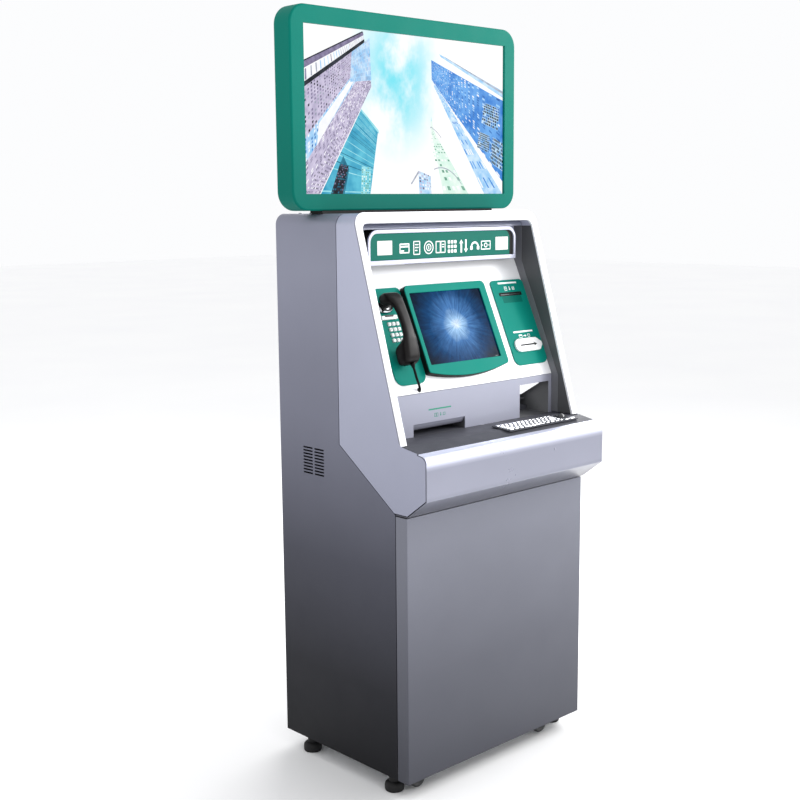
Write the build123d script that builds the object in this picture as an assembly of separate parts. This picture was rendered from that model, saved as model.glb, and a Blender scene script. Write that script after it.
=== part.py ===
from build123d import *
import math
import os

# ---------------------------------------------------------------- driving dimensions (mm)
# Cabinet coordinates: x to the right seen from the front, y = 0 at the front door's face and
# growing towards the rear, z = 0 at the cabinet's underside. Everything is moved at export so
# that the origin lies on the floor under the middle of the machine.
W = 640.0                 # cabinet width
HW = W / 2
FOOT_H = 44.0             # floor to the cabinet's underside
Y_MID = 199.0             # half way between the console's front and the rear screws
BACK = 463.5              # rear face
TOP = 1347.0              # cabinet top
DOOR_H = 652.0            # front door height
DOOR_D = 36.0             # depth of the front door's side returns
SHEET = 2.0               # sheet metal
WALL = 20.0               # hood cheek thickness
SEAM = 2.0                # gap between body panels and hood
CONSOLE_Y = -67.0         # front of the console
SHELF_Z = 818.0           # top of the shelf
SHELF_BEND_Y = 5.0        # in front of this line the shelf slopes down
SHELF_SLOPE = 0.19
LIP_R = 32.0              # rounded front lip of the console
APRON_END_Y = -39.0       # where the lip meets the shelf plate
RIM_TOP_Y = 170.5         # front edge of the hood roof
UPPER_Y = 222.2           # upright panel behind the header
BEND_Z = 1222.0           # upper bend of the fascia
LOWER_Y = 87.0            # upright lower fascia
LOWER_Z = 922.0           # lower bend of the fascia
DISP_W, DISP_H, DISP_D = 780.0, 476.0, 64.0
DISP_Y0 = 304.4           # front of the big display
DISP_Z0 = 1354.0          # underside of the big display
DISP_R = 46.0
WIN_W, WIN_H = 698.0, 393.0     # visible area of the big display
TOUCH_W, TOUCH_H = 246.0, 184.5  # visible area of the touch monitor
FOOT_X, FOOT_YF, FOOT_YR = 295.0, 76.0, 389.0
CAST_X, CAST_YF, CAST_YR = 229.0, 47.0, 415.0
CAST_TRAIL, CAST_R = 20.0, 22.5
DOOR_PIN = (314.0, 32.0)        # front door hinge axis
REAR_PIN = (-293.0, 459.5)      # rear door hinge axis
CORD_D = 6.0

NODES = {}


def box(x0, x1, y0, y1, z0, z1):
    return Pos((x0 + x1) / 2, (y0 + y1) / 2, (z0 + z1) / 2) * Box(x1 - x0, y1 - y0, z1 - z0)


def cyl(x, y, z0, z1, r):
    return Pos(x, y, (z0 + z1) / 2) * Cylinder(r, z1 - z0)


def prism_yz(pts, x0, x1, rounds=()):
    """Profile in y, z pushed from x0 to x1; rounds = ((index, radius), ...)."""
    face = make_face(Polyline(*[(a, b) for a, b in pts], close=True))
    for i, r in rounds:
        v = sorted(face.vertices(), key=lambda q: (q.X - pts[i][0]) ** 2 + (q.Y - pts[i][1]) ** 2)[0]
        face = fillet(v, r)
    return Pos(x0, 0, 0) * extrude(Plane.YZ * face, x1 - x0)


def rounded_xz(x0, x1, z0, z1, y0, y1, r):
    """Block with rounded corners seen from the front; r = (bottom, top) radii."""
    rb, rt = r
    pts = [(x0, z0), (x1, z0), (x1, z1), (x0, z1)]
    face = make_face(Polyline(*pts, close=True))
    for (a, b), rr in zip(pts, (rb, rb, rt, rt)):
        if rr > 0:
            v = sorted(face.vertices(), key=lambda q: (q.X - a) ** 2 + (q.Y - b) ** 2)[0]
            face = fillet(v, rr)
    pl = Plane(origin=(0, y1, 0), x_dir=(1, 0, 0), z_dir=(0, -1, 0))
    return extrude(pl * face, y1 - y0)


def keep(name, *solids):
    s = [q for q in solids]
    NODES[name] = s[0] if len(s) == 1 else Compound(children=s)


# ---------------------------------------------------------------- inclined fascia frame
_d = math.hypot(UPPER_Y - LOWER_Y, BEND_Z - LOWER_Z)
NY, NZ = -(BEND_Z - LOWER_Z) / _d, (UPPER_Y - LOWER_Y) / _d      # outward normal (0, NY, NZ)
INC = Plane(origin=(0, UPPER_Y, BEND_Z), x_dir=(1, 0, 0), z_dir=(0, NY, NZ))
INC_L = _d


def inc_box(x0, x1, u0, u1, o0, o1):
    """Block on the inclined fascia: x, distance u down the slope, height o off its face."""
    return INC * (Pos((x0 + x1) / 2, -(u0 + u1) / 2, (o0 + o1) / 2) * Box(x1 - x0, u1 - u0, o1 - o0))


def inc_pt(x, u, o):
    return (x, UPPER_Y + NZ * -u + NY * o, BEND_Z + NY * u + NZ * o)


def inc_plate(pts, rounds, o0, o1):
    """Plate on the inclined fascia with outline pts in (x, u)."""
    q = [(x, -u) for x, u in pts]
    face = make_face(Polyline(*q, close=True))
    for i, r in rounds:
        v = sorted(face.vertices(), key=lambda w: (w.X - q[i][0]) ** 2 + (w.Y - q[i][1]) ** 2)[0]
        face = fillet(v, r)
    return INC * (Pos(0, 0, o0) * extrude(face, o1 - o0))


# ---------------------------------------------------------------- base, feet and casters
base = box(-317.6, 317.6, 40, 461, 14, 18) + box(-299.6, 299.6, 460.9, BACK, 0, 18)
for x in (-FOOT_X, FOOT_X):
    for y in (FOOT_YF, FOOT_YR):
        base -= cyl(x, y, 10, 22, 6.4)
for x in (-CAST_X, CAST_X):
    for y in (CAST_YF, CAST_YR):
        base -= cyl(x, y, 10, 22, 5.05)
# lower lug of the front door's hinge, kept inside the circle that the door's return sweeps
lug = cyl(*DOOR_PIN, 8, 11.6, 4.2) + box(288, 314, 28, 36, 8, 11.6) + box(284, 300, 28, 46, 8, 11.6) + box(284, 300, 40, 46, 8, 15)
base += lug - cyl(*DOOR_PIN, 5, 14, 3.0)
base -= cyl(*REAR_PIN, 10, 19, 3.0)
base -= cyl(0, 425, 10, 22, 10.3)
keep("base_frame", base)

gland = cyl(0, 425, 8, 13.8, 14) + cyl(0, 425, 13.8, 26, 10) - cyl(0, 425, 0, 40, 5)
keep("power_cable_gland", gland)

feet = []
for x in (-FOOT_X, FOOT_X):
    for y in (FOOT_YF, FOOT_YR):
        pad = cyl(x, y, -FOOT_H, -FOOT_H + 25, 24)
        pad = fillet(pad.edges().filter_by(GeomType.CIRCLE), 5)
        feet.append(pad + cyl(x, y, -20, -6, 13) + cyl(x, y, -10, 34, 6) + cyl(x, y, 8, 13.8, 10))
keep("levelling_feet", *feet)

for tag, x, y in (("front_left", -CAST_X, CAST_YF), ("front_right", CAST_X, CAST_YF),
                  ("rear_left", -CAST_X, CAST_YR), ("rear_right", CAST_X, CAST_YR)):
    wx, wz = x - CAST_TRAIL, -FOOT_H + 3.0 + CAST_R
    crown = cyl(x, y, 8.2, 13.2, 15) + cyl(x, y, 13, 24, 5.0) + cyl(x, y, 18.6, 24, 8)
    legs = []
    for s in (-1, 1):
        a, b = sorted((y + s * 9.6, y + s * 12.0))
        pl = Plane(origin=(0, b, 0), x_dir=(1, 0, 0), z_dir=(0, -1, 0))
        f = make_face(Polyline((x - 10, 13.2), (x + 12, 13.2), (x + 12, 8.5), (wx + 8, wz - 5), (wx - 6, wz - 5), (wx - 6, wz + 6), close=True))
        legs.append(extrude(pl * f, b - a))
    axle = Pos(wx, y, wz) * (Rot(90, 0, 0) * Cylinder(3.0, 24.0))
    bridge = box(x - 10, x + 12, y - 12, y + 12, 8.2, 13.2)
    keep("caster_fork_" + tag, crown + legs[0] + legs[1] + axle + bridge)
    wheel = Pos(wx, y, wz) * (Rot(90, 0, 0) * Cylinder(CAST_R, 18.0))
    wheel = fillet(wheel.edges().filter_by(GeomType.CIRCLE), 3)
    wheel -= Pos(wx, y, wz) * (Rot(90, 0, 0) * Cylinder(3.06, 30.0))
    keep("caster_wheel_" + tag, wheel)

# ---------------------------------------------------------------- body panels
SIDE_TOP = TOP - 28.0
side_pts = [(BACK, 0), (BACK, SIDE_TOP), (233 + SEAM, SIDE_TOP), (233 + SEAM, 795.4), (DOOR_D + 2.5, 654.8), (DOOR_D + 2.5, 0)]
VENT_ROWS, VENT_PITCH, VENT_Z0, VENT_H = 9, 8.0, 708.0, 4.2


def side_panel(s):
    a, b = sorted((s * HW, s * (HW - SHEET)))
    p = prism_yz(side_pts, a, b)
    a, b = sorted((s * (HW - SHEET), s * 300.0))
    p += box(a, b, BACK - SHEET, BACK, 0, SIDE_TOP)
    cuts = None
    for i in range(VENT_ROWS):
        for y0, y1 in ((293, 330), (336, 373)):
            z = VENT_Z0 + i * VENT_PITCH
            slot = Pos(s * HW, (y0 + y1) / 2, z) * (Plane.YZ * extrude(SlotOverall(y1 - y0, VENT_H), 6, both=True))
            cuts = slot if cuts is None else cuts + slot
    return p - cuts


keep("left_side_panel", side_panel(-1))
keep("right_side_panel", side_panel(1))


def crown_shell(x, y0, y1, z0, z1, r):
    b = box(-x, x, y0, y1, z0, z1)
    return fillet(b.edges().filter_by(Axis.Y).sort_by(Axis.Z)[-2:], r)


top = crown_shell(HW, 233 + SEAM, BACK, SIDE_TOP, TOP, 27) - crown_shell(HW - SHEET, 233 + SEAM + SHEET, BACK - SHEET, SIDE_TOP - 30, TOP - SHEET, 25)
keep("top_cover", top)

# ---------------------------------------------------------------- doors
door = box(-HW, HW, 0, DOOR_D, 0, DOOR_H)
door = fillet(door.edges().filter_by(Axis.Z).sort_by(Axis.Y)[:2], 3)
door -= box(-HW + 1.5, HW - 1.5, 1.5, DOOR_D + 5, -5, DOOR_H - 1.5)
door -= box(HW - 1.5 - 0.01, HW + 5, DOOR_D - 2.0, DOOR_D + 5, -5, DOOR_H + 5)
door += box(HW - 14, HW - 1.2, 14, 34, 13, 16)
door -= cyl(*DOOR_PIN, -5, DOOR_H + 5, 3.06)
door -= cyl(*DOOR_PIN, -5, 13, 5.2)
door -= Pos(-298, 0, 330) * (Rot(90, 0, 0) * Cylinder(0.1, 1))
keep("front_door", door)

latch = Pos(-298, 15.0, 330) * (Rot(90, 0, 0) * Cylinder(8, 26.4)) + box(-302.5, -293.5, 28.2, 31.2, 325, 358)
keep("front_door_latch", latch)

RZ0, RZ1 = 22.0, SIDE_TOP - 3.0
rear = box(-297, 297, BACK - 15, BACK, RZ0, RZ1) - box(-295.5, 295.5, BACK - 30, BACK - 1.5, RZ0 + 1.5, RZ1 - 1.5)
rear -= cyl(*REAR_PIN, RZ0 - 5, RZ1 + 5, 3.06)
for i in range(10):
    rear -= box(-120, 120, BACK - 5, BACK + 5, 1120 + 14 * i, 1120 + 14 * i + 5)
rear -= Pos(270, BACK, 660) * (Rot(90, 0, 0) * Cylinder(11.05, 10))
keep("rear_door", rear)
lock = Pos(270, BACK - 8.5, 660) * (Rot(90, 0, 0) * Cylinder(11.0, 20.0)) + box(265, 275, BACK - 18.5, BACK - 15.5, 655, 690)
lock -= box(269, 271, BACK - 1.0, BACK + 3, 655, 665)
keep("rear_door_lock", lock)

keep("hinge_pins",
     cyl(*DOOR_PIN, 8, 22, 3.0),
     cyl(*DOOR_PIN, DOOR_H - 8, 656.8, 3.0),
     cyl(*REAR_PIN, 14, 34, 3.0),
     cyl(*REAR_PIN, RZ1 - 12, RZ1 + 2.5, 3.0) + cyl(*REAR_PIN, RZ1 + 0.6, RZ1 + 2.5, 3.2))

# ---------------------------------------------------------------- hood with its two cheeks and roof
hood_pts = [(233, TOP), (RIM_TOP_Y, TOP), (16.5, 819.5), (CONSOLE_Y, SHELF_Z + SHELF_SLOPE * (CONSOLE_Y - SHELF_BEND_Y)),
            (CONSOLE_Y, 702), (-4, 655), (36, 655), (233, 796)]


def slope_z(y):
    return SHELF_Z + SHELF_SLOPE * (y - SHELF_BEND_Y)


def cheek(s):
    a, b = sorted((s * HW, s * (HW - SHEET)))
    skin = prism_yz(hood_pts, a, b, ((1, 24), (2, 14), (3, LIP_R), (4, 4)))
    a, b = sorted((s * HW, s * (HW - WALL)))
    upper = [(233, TOP), (RIM_TOP_Y, TOP), (16.5, 819.5), (20, 818.2), (233, 818.2)]
    wall = prism_yz(upper, a, b, ((1, 24),))
    return skin + wall


roof = box(-HW + 5, HW - 5, 160, 233, TOP - 22, TOP)
rim_cut = [(100, 700), (100, TOP + 60), (RIM_TOP_Y + (TOP + 60 - TOP) * (RIM_TOP_Y - 16.5) / (TOP - 819.5), TOP + 60), (16.5 + (700 - 819.5) * (RIM_TOP_Y - 16.5) / (TOP - 819.5), 700)]
hood = cheek(-1) + cheek(1) + roof
# lean the roof's front to the rim and round the outer and inner corners of the opening
lean = prism_yz([(RIM_TOP_Y, TOP), (16.5, 819.5), (-400, 819.5), (-400, TOP + 100), (RIM_TOP_Y + 29.2, TOP + 100)], -400, 400)
hood -= lean
corner = box(-HW - 10, -HW + 30, 150, 240, TOP - 30, TOP + 10) - cyl(0, 0, 0, 1, 0.1)
cut = corner - Pos(-HW + 30, 195, TOP - 30) * (Rot(90, 0, 0) * Cylinder(30, 120))
hood -= cut
hood -= mirror(cut, Plane.YZ)
for s in (-1, 1):
    a, b = sorted((s * (HW - WALL), s * (HW - WALL - 16)))
    g = box(a, b, 160, UPPER_Y - 0.2, TOP - 22 - 16, TOP - 22)
    g -= Pos(s * (HW - WALL - 16), 195, TOP - 22 - 16) * (Rot(90, 0, 0) * Cylinder(16, 120))
    hood += g - lean
hood -= cyl(*DOOR_PIN, 650, 656.9, 3.0)
keep("hood_shell", hood)

# ---------------------------------------------------------------- console apron and shelf
ap_out = [(APRON_END_Y, slope_z(APRON_END_Y)), (CONSOLE_Y, slope_z(CONSOLE_Y)), (CONSOLE_Y, 702), (-4, 655), (36, 655), (36, slope_z(APRON_END_Y))]
ap_in = [(APRON_END_Y + 1, 830), (APRON_END_Y + 1, slope_z(APRON_END_Y + 1) - SHEET), (CONSOLE_Y + SHEET, slope_z(CONSOLE_Y + SHEET) - SHEET),
         (CONSOLE_Y + SHEET, 702.9), (-3.3, 655 + SHEET), (40, 655 + SHEET), (40, 830)]
apron = prism_yz(ap_out, -317.9, 317.9, ((1, LIP_R), (2, 4))) - prism_yz(ap_in, -400, 400, ((2, LIP_R - SHEET),))
apron -= cyl(*DOOR_PIN, 650, 660, 3.0)
keep("console_apron", apron)

shelf_pts = [(UPPER_Y, SHELF_Z), (SHELF_BEND_Y, SHELF_Z), (APRON_END_Y + 1.4, slope_z(APRON_END_Y + 1.4)),
             (APRON_END_Y + 1.4, slope_z(APRON_END_Y + 1.4) - SHEET), (SHELF_BEND_Y, SHELF_Z - SHEET), (UPPER_Y, SHELF_Z - SHEET)]
shelf_pts = [(a if a != UPPER_Y else LOWER_Y, b) for a, b in shelf_pts]
shelf = prism_yz(shelf_pts, -317.9, 317.9) - box(-330, -299.9, 12, 100, 800, 830) - box(299.9, 330, 12, 100, 800, 830)

# keyboard on the shelf: its own tilted frame
KX0, KX1, KY0, KY1 = 8.0, 272.0, -26.0, 38.0
KA = math.atan2(4.5, KY1 - KY0)
KB = Plane(origin=((KX0 + KX1) / 2, (KY0 + KY1) / 2, 819.4), x_dir=(1, 0, 0), z_dir=(0, -math.sin(KA), math.cos(KA)))
KL, KD = KX1 - KX0, KY1 - KY0


def kb_box(x0, x1, y0, y1, z0, z1):
    return KB * (Pos((x0 + x1) / 2, (y0 + y1) / 2, (z0 + z1) / 2) * Box(x1 - x0, y1 - y0, z1 - z0))


shelf -= kb_box(-KL / 2 + 3.5, KL / 2 - 3.5, -KD / 2 + 3.5, KD / 2 - 3.5, -30, 10)
keep("console_shelf", shelf)

FX0, FX1 = -KL / 2 + 5, KL / 2 - 52        # key field
ROWS, COLS = 5, 14
PX, PY = (FX1 - FX0) / COLS, (KD - 9) / ROWS
plate = kb_box(-KL / 2, KL / 2, -KD / 2, KD / 2, -0.9, 1.6)
plate = fillet(plate.edges().filter_by(lambda e: abs(e.length - 2.5) < 0.01), 4)
plate += kb_box(-KL / 2 + 4, KL / 2 - 4, -KD / 2 + 4, KD / 2 - 4, -12.0, -0.9)
plate -= kb_box(FX0 - 0.6, FX1 + 0.6, -KD / 2 + 4, KD / 2 - 4, -4.4, 5)
BALL = (KL / 2 - 27.0, 6.0, -2.0)
plate -= KB * (Pos(BALL[0], BALL[1], 0) * Cylinder(12.4, 60))
plate += KB * (Pos(BALL[0], BALL[1], 1.6) * (Cylinder(15.4, 1.6) - Cylinder(12.4, 4)))
for i, x in enumerate((-KL / 2, 0)):
    pass
BTN = ((KL / 2 - 47, KL / 2 - 28.6), (KL / 2 - 25.4, KL / 2 - 7))
for a, b in BTN:
    plate -= kb_box(a - 0.5, b + 0.5, -KD / 2 + 4.5, -KD / 2 + 15.5, -5, 5)
keep("keyboard_plate", plate)

rows_units = {
    0: [1] * 14,
    1: [1.5] + [1] * 11 + [1.5],
    2: [1.75] + [1] * 10 + [2.25],
    3: [2.25] + [1] * 9 + [1.75, 1],
    4: [1.25, 1.25, 1.25, 5.5, 1.25, 1.25, 1.25, 1],
}
for r in range(ROWS):
    y1 = KD / 2 - 4.5 - r * PY
    y0 = y1 - PY
    x = FX0
    caps = []
    for n in rows_units[r]:
        w = n * PX
        c = kb_box(x + 0.9, x + w - 0.9, y0 + 0.9, y1 - 0.9, -2.0, 3.2)
        caps.append(c)
        x += w
    keep("key_row_%d" % (r + 1), *caps)

keep("trackball", KB * (Pos(*BALL) * Sphere(12.0)))
keep("trackball_left_button", kb_box(BTN[0][0], BTN[0][1], -KD / 2 + 5, -KD / 2 + 15, -2.6, 3.0))
keep("trackball_right_button", kb_box(BTN[1][0], BTN[1][1], -KD / 2 + 5, -KD / 2 + 15, -2.6, 3.0))

# ---------------------------------------------------------------- fascia panels
keep("header_back_panel", box(-299.8, 299.8, UPPER_Y, UPPER_Y + SHEET, BEND_Z + 0.6, TOP - 22.2))
MON = (-145.0, 131.0, 65.0)           # monitor bezel: left, right, top
SCR_X0, SCR_X1, SCR_U0, SCR_U1 = -127.0, -127.0 + TOUCH_W, 82.0, 82.0 + TOUCH_H
fascia = inc_box(-299.8, 299.8, 0.6, INC_L - 0.6, -SHEET, 0)
fascia -= inc_box(SCR_X0 - 9, SCR_X1 + 9, SCR_U0 - 9, SCR_U1 + 9, -10, 10)
KEY_X, KEY_U, KEY_PX, KEY_PU, KEY_S = -210.0, 152.0, 13.4, 13.8, 9.6
fascia -= inc_box(KEY_X - 20, KEY_X + 20, KEY_U - 7, KEY_U + 3 * KEY_PU + 7, -10, 10)
HOOK = (-245.0, -195.0, 131.0, 141.0)
fascia -= inc_box(HOOK[0] + 8, HOOK[1] - 8, HOOK[2] + 1, HOOK[3] - 1, -10, 10)
fascia -= inc_box(192, 276, 97, 105, -10, 10)
fascia -= inc_box(200, 266, 240, 250, -10, 10)
GL = (-189.0, 321.0)                  # cord gland on the fascia
fascia -= INC * (Pos(GL[0], -GL[1], 0) * Cylinder(6.0, 20))
keep("fascia_panel", fascia)

low = box(-299.8, 299.8, LOWER_Y, LOWER_Y + SHEET, SHELF_Z + 0.2, LOWER_Z - 0.8)
PB = (-212.0, -34.0, SHELF_Z - 1, 847.5)     # passbook slot
BAY = (170.5, 287.0, SHELF_Z - 1, 903.0)     # document bay
low -= box(PB[0], PB[1], 80, 95, PB[2], PB[3])
low -= box(BAY[0], BAY[1], 80, 95, BAY[2], BAY[3])
keep("lower_fascia_panel", low)

# header: sign box with a front lip, green face recessed a little
hb = rounded_xz(-262, 262, 1224.5, 1308.5, 185.0, UPPER_Y - 0.2, (2, 30))
hb -= rounded_xz(-255, 255, 1235.0, 1299.5, 184.0, 187.2, (2, 23))
keep("header_box", hb)
keep("header_sign", rounded_xz(-254.7, 254.7, 1235.3, 1299.2, 186.0, 187.2, (2, 22.7)))

# ---------------------------------------------------------------- touch monitor
mx0, mx1, mu0 = MON
arc_pts = []
n = 14
for i in range(n + 1):
    t = i / n
    xx = mx0 + (mx1 - mx0) * t
    sag = 18.0 * (1 - (2 * t - 1) ** 2)
    arc_pts.append((xx, 285.0 + sag))
outline = [(mx0, mu0), (mx1, mu0)] + [(x, u) for x, u in reversed(arc_pts)]
bez = inc_plate(outline, ((0, 14), (1, 14), (2, 14), (len(outline) - 1, 14)), 0.0, 12.0)
bez -= inc_box(SCR_X0, SCR_X1, SCR_U0, SCR_U1, -5, 20)
bez -= inc_box(SCR_X0 - 8.5, SCR_X1 + 8.5, SCR_U0 - 8.5, SCR_U1 + 8.5, -5, 9.0)
keep("monitor_bezel", bez)
keep("monitor_screen", inc_box(SCR_X0 - 8, SCR_X1 + 8, SCR_U0 - 8, SCR_U1 + 8, -42, 8.7))

# ---------------------------------------------------------------- phone
pp = inc_plate([(-256, 60), (-156, 60), (-156, 306), (-256, 306)], ((0, 12), (1, 12), (2, 24), (3, 24)), 0.0, 3.0)
for c in range(3):
    for r in range(4):
        kx, ku = KEY_X + (c - 1) * KEY_PX, KEY_U + r * KEY_PU
        pp -= inc_box(kx - KEY_S / 2 - 0.4, kx + KEY_S / 2 + 0.4, ku - KEY_S / 2 - 0.4, ku + KEY_S / 2 + 0.4, -5, 10)
pp -= inc_box(HOOK[0] + 9, HOOK[1] - 9, HOOK[2] + 2, HOOK[3] - 2, -5, 10)
keep("phone_panel", pp)
for c, tag in enumerate(("left", "middle", "right")):
    caps = []
    for r in range(4):
        kx, ku = KEY_X + (c - 1) * KEY_PX, KEY_U + r * KEY_PU
        caps.append(inc_box(kx - KEY_S / 2, kx + KEY_S / 2, ku - KEY_S / 2, ku + KEY_S / 2, 0.0, 6.4))
    keep("phone_keys_" + tag, *caps)

HX0, HX1 = -247.0, -197.0
cr = inc_plate([(HX0 + 1, 102), (HX1 - 1, 102), (HX1 - 1, 112), (HX1 - 12, 124), (HX0 + 12, 124), (HX0 + 1, 112)], ((3, 8), (4, 8)), 3.0, 11.0)
keep("phone_cradle", cr)
hook = inc_box(HOOK[0], HOOK[1], HOOK[2], HOOK[3], 3.4, 9.0) + inc_box(HOOK[0] + 9.6, HOOK[1] - 9.6, HOOK[2] + 2.6, HOOK[3] - 2.6, -12, 4)
hook -= inc_box(HOOK[0] + 10, HOOK[1] - 10, HOOK[2] - 1, HOOK[2] + 4, 5.5, 20)
keep("hook_switch", hook)

# handset: earpiece above, mouthpiece below, bowed handle clear of the keypad
hs = [(85, 13), (121, 13), (124, 24), (136, 36), (210, 36), (221, 24), (224, 12), (260, 12), (264.5, 22), (263.5, 44), (250, 52), (175, 56), (106, 52), (90, 42), (82, 24)]
hs_plane = Plane(origin=INC.origin + Vector(HX0, 0, 0), x_dir=(0, -NZ, NY), z_dir=(1, 0, 0))
# local x runs down the slope, local y is x_dir rotated about z_dir: it must point outwards
yl = hs_plane.y_dir
sgn = 1.0 if (yl.Y * NY + yl.Z * NZ) > 0 else -1.0
hf = make_face(Polyline(*[(u, sgn * o) for u, o in hs], close=True))
handset = extrude(hs_plane * hf, (HX1 - HX0))
handset = fillet(handset.edges().filter_by(Axis.X), 3)
handset = chamfer(handset.faces().sort_by(Axis.X)[0].edges(), 2.5)
handset = chamfer(handset.faces().sort_by(Axis.X)[-1].edges(), 2.5)
keep("handset", handset)

# cord: from the handset's lower end to the gland on the fascia
cord_route = [inc_pt(-222.0, 264.9, 38.5), inc_pt(-220.5, 282.5, 37.0), inc_pt(-211.5, 300.0, 26.5), inc_pt(-198.0, 312.5, 14.5), inc_pt(GL[0], GL[1], 3.2)]
rads = []
for a, b, c in zip(cord_route, cord_route[1:], cord_route[2:]):
    va, vb = Vector(*b) - Vector(*a), Vector(*c) - Vector(*b)
    turn = math.radians(va.get_angle(vb))
    rads.append(0.45 * min(va.length, vb.length) / math.tan(turn / 2))
print("cord radii", [round(r, 1) for r in rads])
wire = FilletPolyline(*cord_route, radius=rads)
path = Wire(wire.edges())
sec = Plane(origin=cord_route[0], z_dir=Vector(*cord_route[1]) - Vector(*cord_route[0])) * Circle(CORD_D / 2)
tube = sweep(sec, path=path)
print("cord length", round(path.length, 2), "volume ratio", round(tube.volume / (math.pi * CORD_D ** 2 / 4 * path.length), 4))
keep("handset_cord", tube)
end_dir = Vector(*cord_route[-1]) - Vector(*cord_route[-2])
g2 = INC * (Pos(GL[0], -GL[1], 1.6) * (Cylinder(7.0, 3.2))) + INC * (Pos(GL[0], -GL[1], -4) * Cylinder(5.8, 9))
keep("cord_gland", g2)

# ---------------------------------------------------------------- right-hand service panel
sp = inc_plate([(170, 61), (297, 61), (297, 297), (170, 297)], ((0, 12), (1, 12), (2, 20), (3, 20)), 0.0, 3.0)
sp -= inc_box(194, 274, 98.8, 103.2, -5, 10)
sp -= inc_box(202, 264, 241, 249, -5, 10)
keep("service_panel", sp)
cb = inc_plate([(186, 227), (272, 227), (289, 240), (289, 250), (275, 262), (186, 262)], ((0, 16), (5, 16), (2, 4), (3, 4)), 3.0, 9.0)
cb -= inc_box(206, 264, 243.6, 246.4, -5, 20)
keep("card_slot_bezel", cb)
keep("receipt_printer", inc_box(188, 284, 72, 150, -112, -2.3) - inc_box(196, 272, 99.5, 102.5, -30, 0))
keep("card_reader", inc_box(196, 270, 228, 262, -112, -2.3) - inc_box(206, 262, 243.8, 246.2, -90, 0))

# ---------------------------------------------------------------- passbook slot and document bay
tray = box(PB[0] - 2, PB[1] + 2, LOWER_Y + SHEET + 0.2, 152, SHELF_Z - 2, PB[3] + 2) - box(PB[0], PB[1], LOWER_Y, 150, SHELF_Z, PB[3])
tray += prism_yz([(LOWER_Y + SHEET + 0.4, PB[3] + 0.5), (128, 836.0), (128, 834.4), (LOWER_Y + SHEET + 0.4, PB[3] - 1.2)], PB[0] - 0.5, PB[1] + 0.5)
keep("passbook_slot_tray", tray)
keep("passbook_printer", box(-228, -18, 152.4, 330, 790, 900) - box(-205, -41, 150, 300, 822, 828))
bay = box(BAY[0] - 2, BAY[1] + 2, LOWER_Y + SHEET + 0.2, 196, SHELF_Z - 2, BAY[3] + 2) - box(BAY[0], BAY[1], LOWER_Y, 194, SHELF_Z, BAY[3])
bay += prism_yz([(112, BAY[3] + 0.5), (172, 868), (172, 866), (110, BAY[3] + 0.5)], BAY[0] - 0.5, BAY[1] + 0.5)
bay += box(BAY[0] - 0.5, BAY[1] + 0.5, 164, 195, SHELF_Z - 0.5, 830)
keep("document_bay", bay)
keep("industrial_pc", box(-150, 150, 110, 400, 18, 150))

# ---------------------------------------------------------------- big display
DZ1 = DISP_Z0 + DISP_H
DCX, DCZ = 0.0, DISP_Z0 + DISP_H / 2
DY1 = DISP_Y0 + DISP_D
WZ0 = 1394.0
fr = rounded_xz(-DISP_W / 2, DISP_W / 2, DISP_Z0, DZ1, DISP_Y0, DY1, (DISP_R, DISP_R))
front_edges = fr.faces().sort_by(Axis.Y)[0].edges()
fr = fillet(front_edges, 5)
fr = fillet(fr.faces().sort_by(Axis.Y)[-1].edges(), 9)
fr -= box(-WIN_W / 2, WIN_W / 2, DISP_Y0 - 10, DY1 + 10, WZ0, WZ0 + WIN_H)
fr -= rounded_xz(-DISP_W / 2 + 7, DISP_W / 2 - 7, DISP_Z0 + 7, DZ1 - 7, DISP_Y0 + 7, DY1 + 10, (DISP_R - 7, DISP_R - 7))
keep("display_frame", fr)
keep("display_screen", box(-WIN_W / 2 - 10, WIN_W / 2 + 10, DISP_Y0 + 7.3, DISP_Y0 + 22, WZ0 - 10, WZ0 + WIN_H + 10))
rc = rounded_xz(-DISP_W / 2 + 7.5, DISP_W / 2 - 7.5, DISP_Z0 + 7.5, DZ1 - 7.5, DY1 - 10, DY1 - 1, (DISP_R - 7.5, DISP_R - 7.5))
for i in range(12):
    rc -= box(-210, 210, DY1 - 20, DY1 + 5, 1660 + 10 * i, 1664 + 10 * i)
keep("display_rear_cover", rc)
ped = rounded_xz(-300, 300, TOP, DISP_Z0, 306, 352, (0, 0))
ped += box(-120, 120, 330, DY1 - 10.3, TOP, DISP_Z0 - 0.3) + box(-160, 160, DISP_Y0 + 22.4, DY1 - 10.3, DISP_Z0 + 7.3, DISP_Z0 + 240)
ped += box(-100, 100, 334, DY1 - 10.3, DISP_Z0 - 1, DISP_Z0 + 8)
keep("display_pedestal", ped)
fr = NODES["display_frame"] - box(-100.5, 100.5, 333.5, DY1 - 10.0, DISP_Z0 - 2, DISP_Z0 + 9)
keep("display_frame", fr)

# ---------------------------------------------------------------- fasteners
sc = []
for z in (60, 320, 640, 960, 1280):
    for x in (-309, 309):
        sc.append(Pos(x, BACK + 0.75, z) * (Rot(90, 0, 0) * Cylinder(4.5, 1.5)))
for x in (-260, 260):
    for y in (400, 440):
        sc.append(cyl(x, y, TOP, TOP + 2.2, 5.0))
for x in (-280, -200, 200, 280):
    pass
keep("fasteners", *sc)

# ---------------------------------------------------------------- write
os.makedirs("parts", exist_ok=True)
for f in os.listdir("parts"):
    if f.endswith(".step"):
        os.remove(os.path.join("parts", f))
for name, shape in NODES.items():
    moved = Pos(0, -Y_MID, FOOT_H) * shape
    export_step(moved, "parts/%s.step" % name)
print(len(NODES), "nodes written")
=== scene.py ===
import math
import random

import bmesh
import bpy
from mathutils import Matrix, Vector


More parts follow.
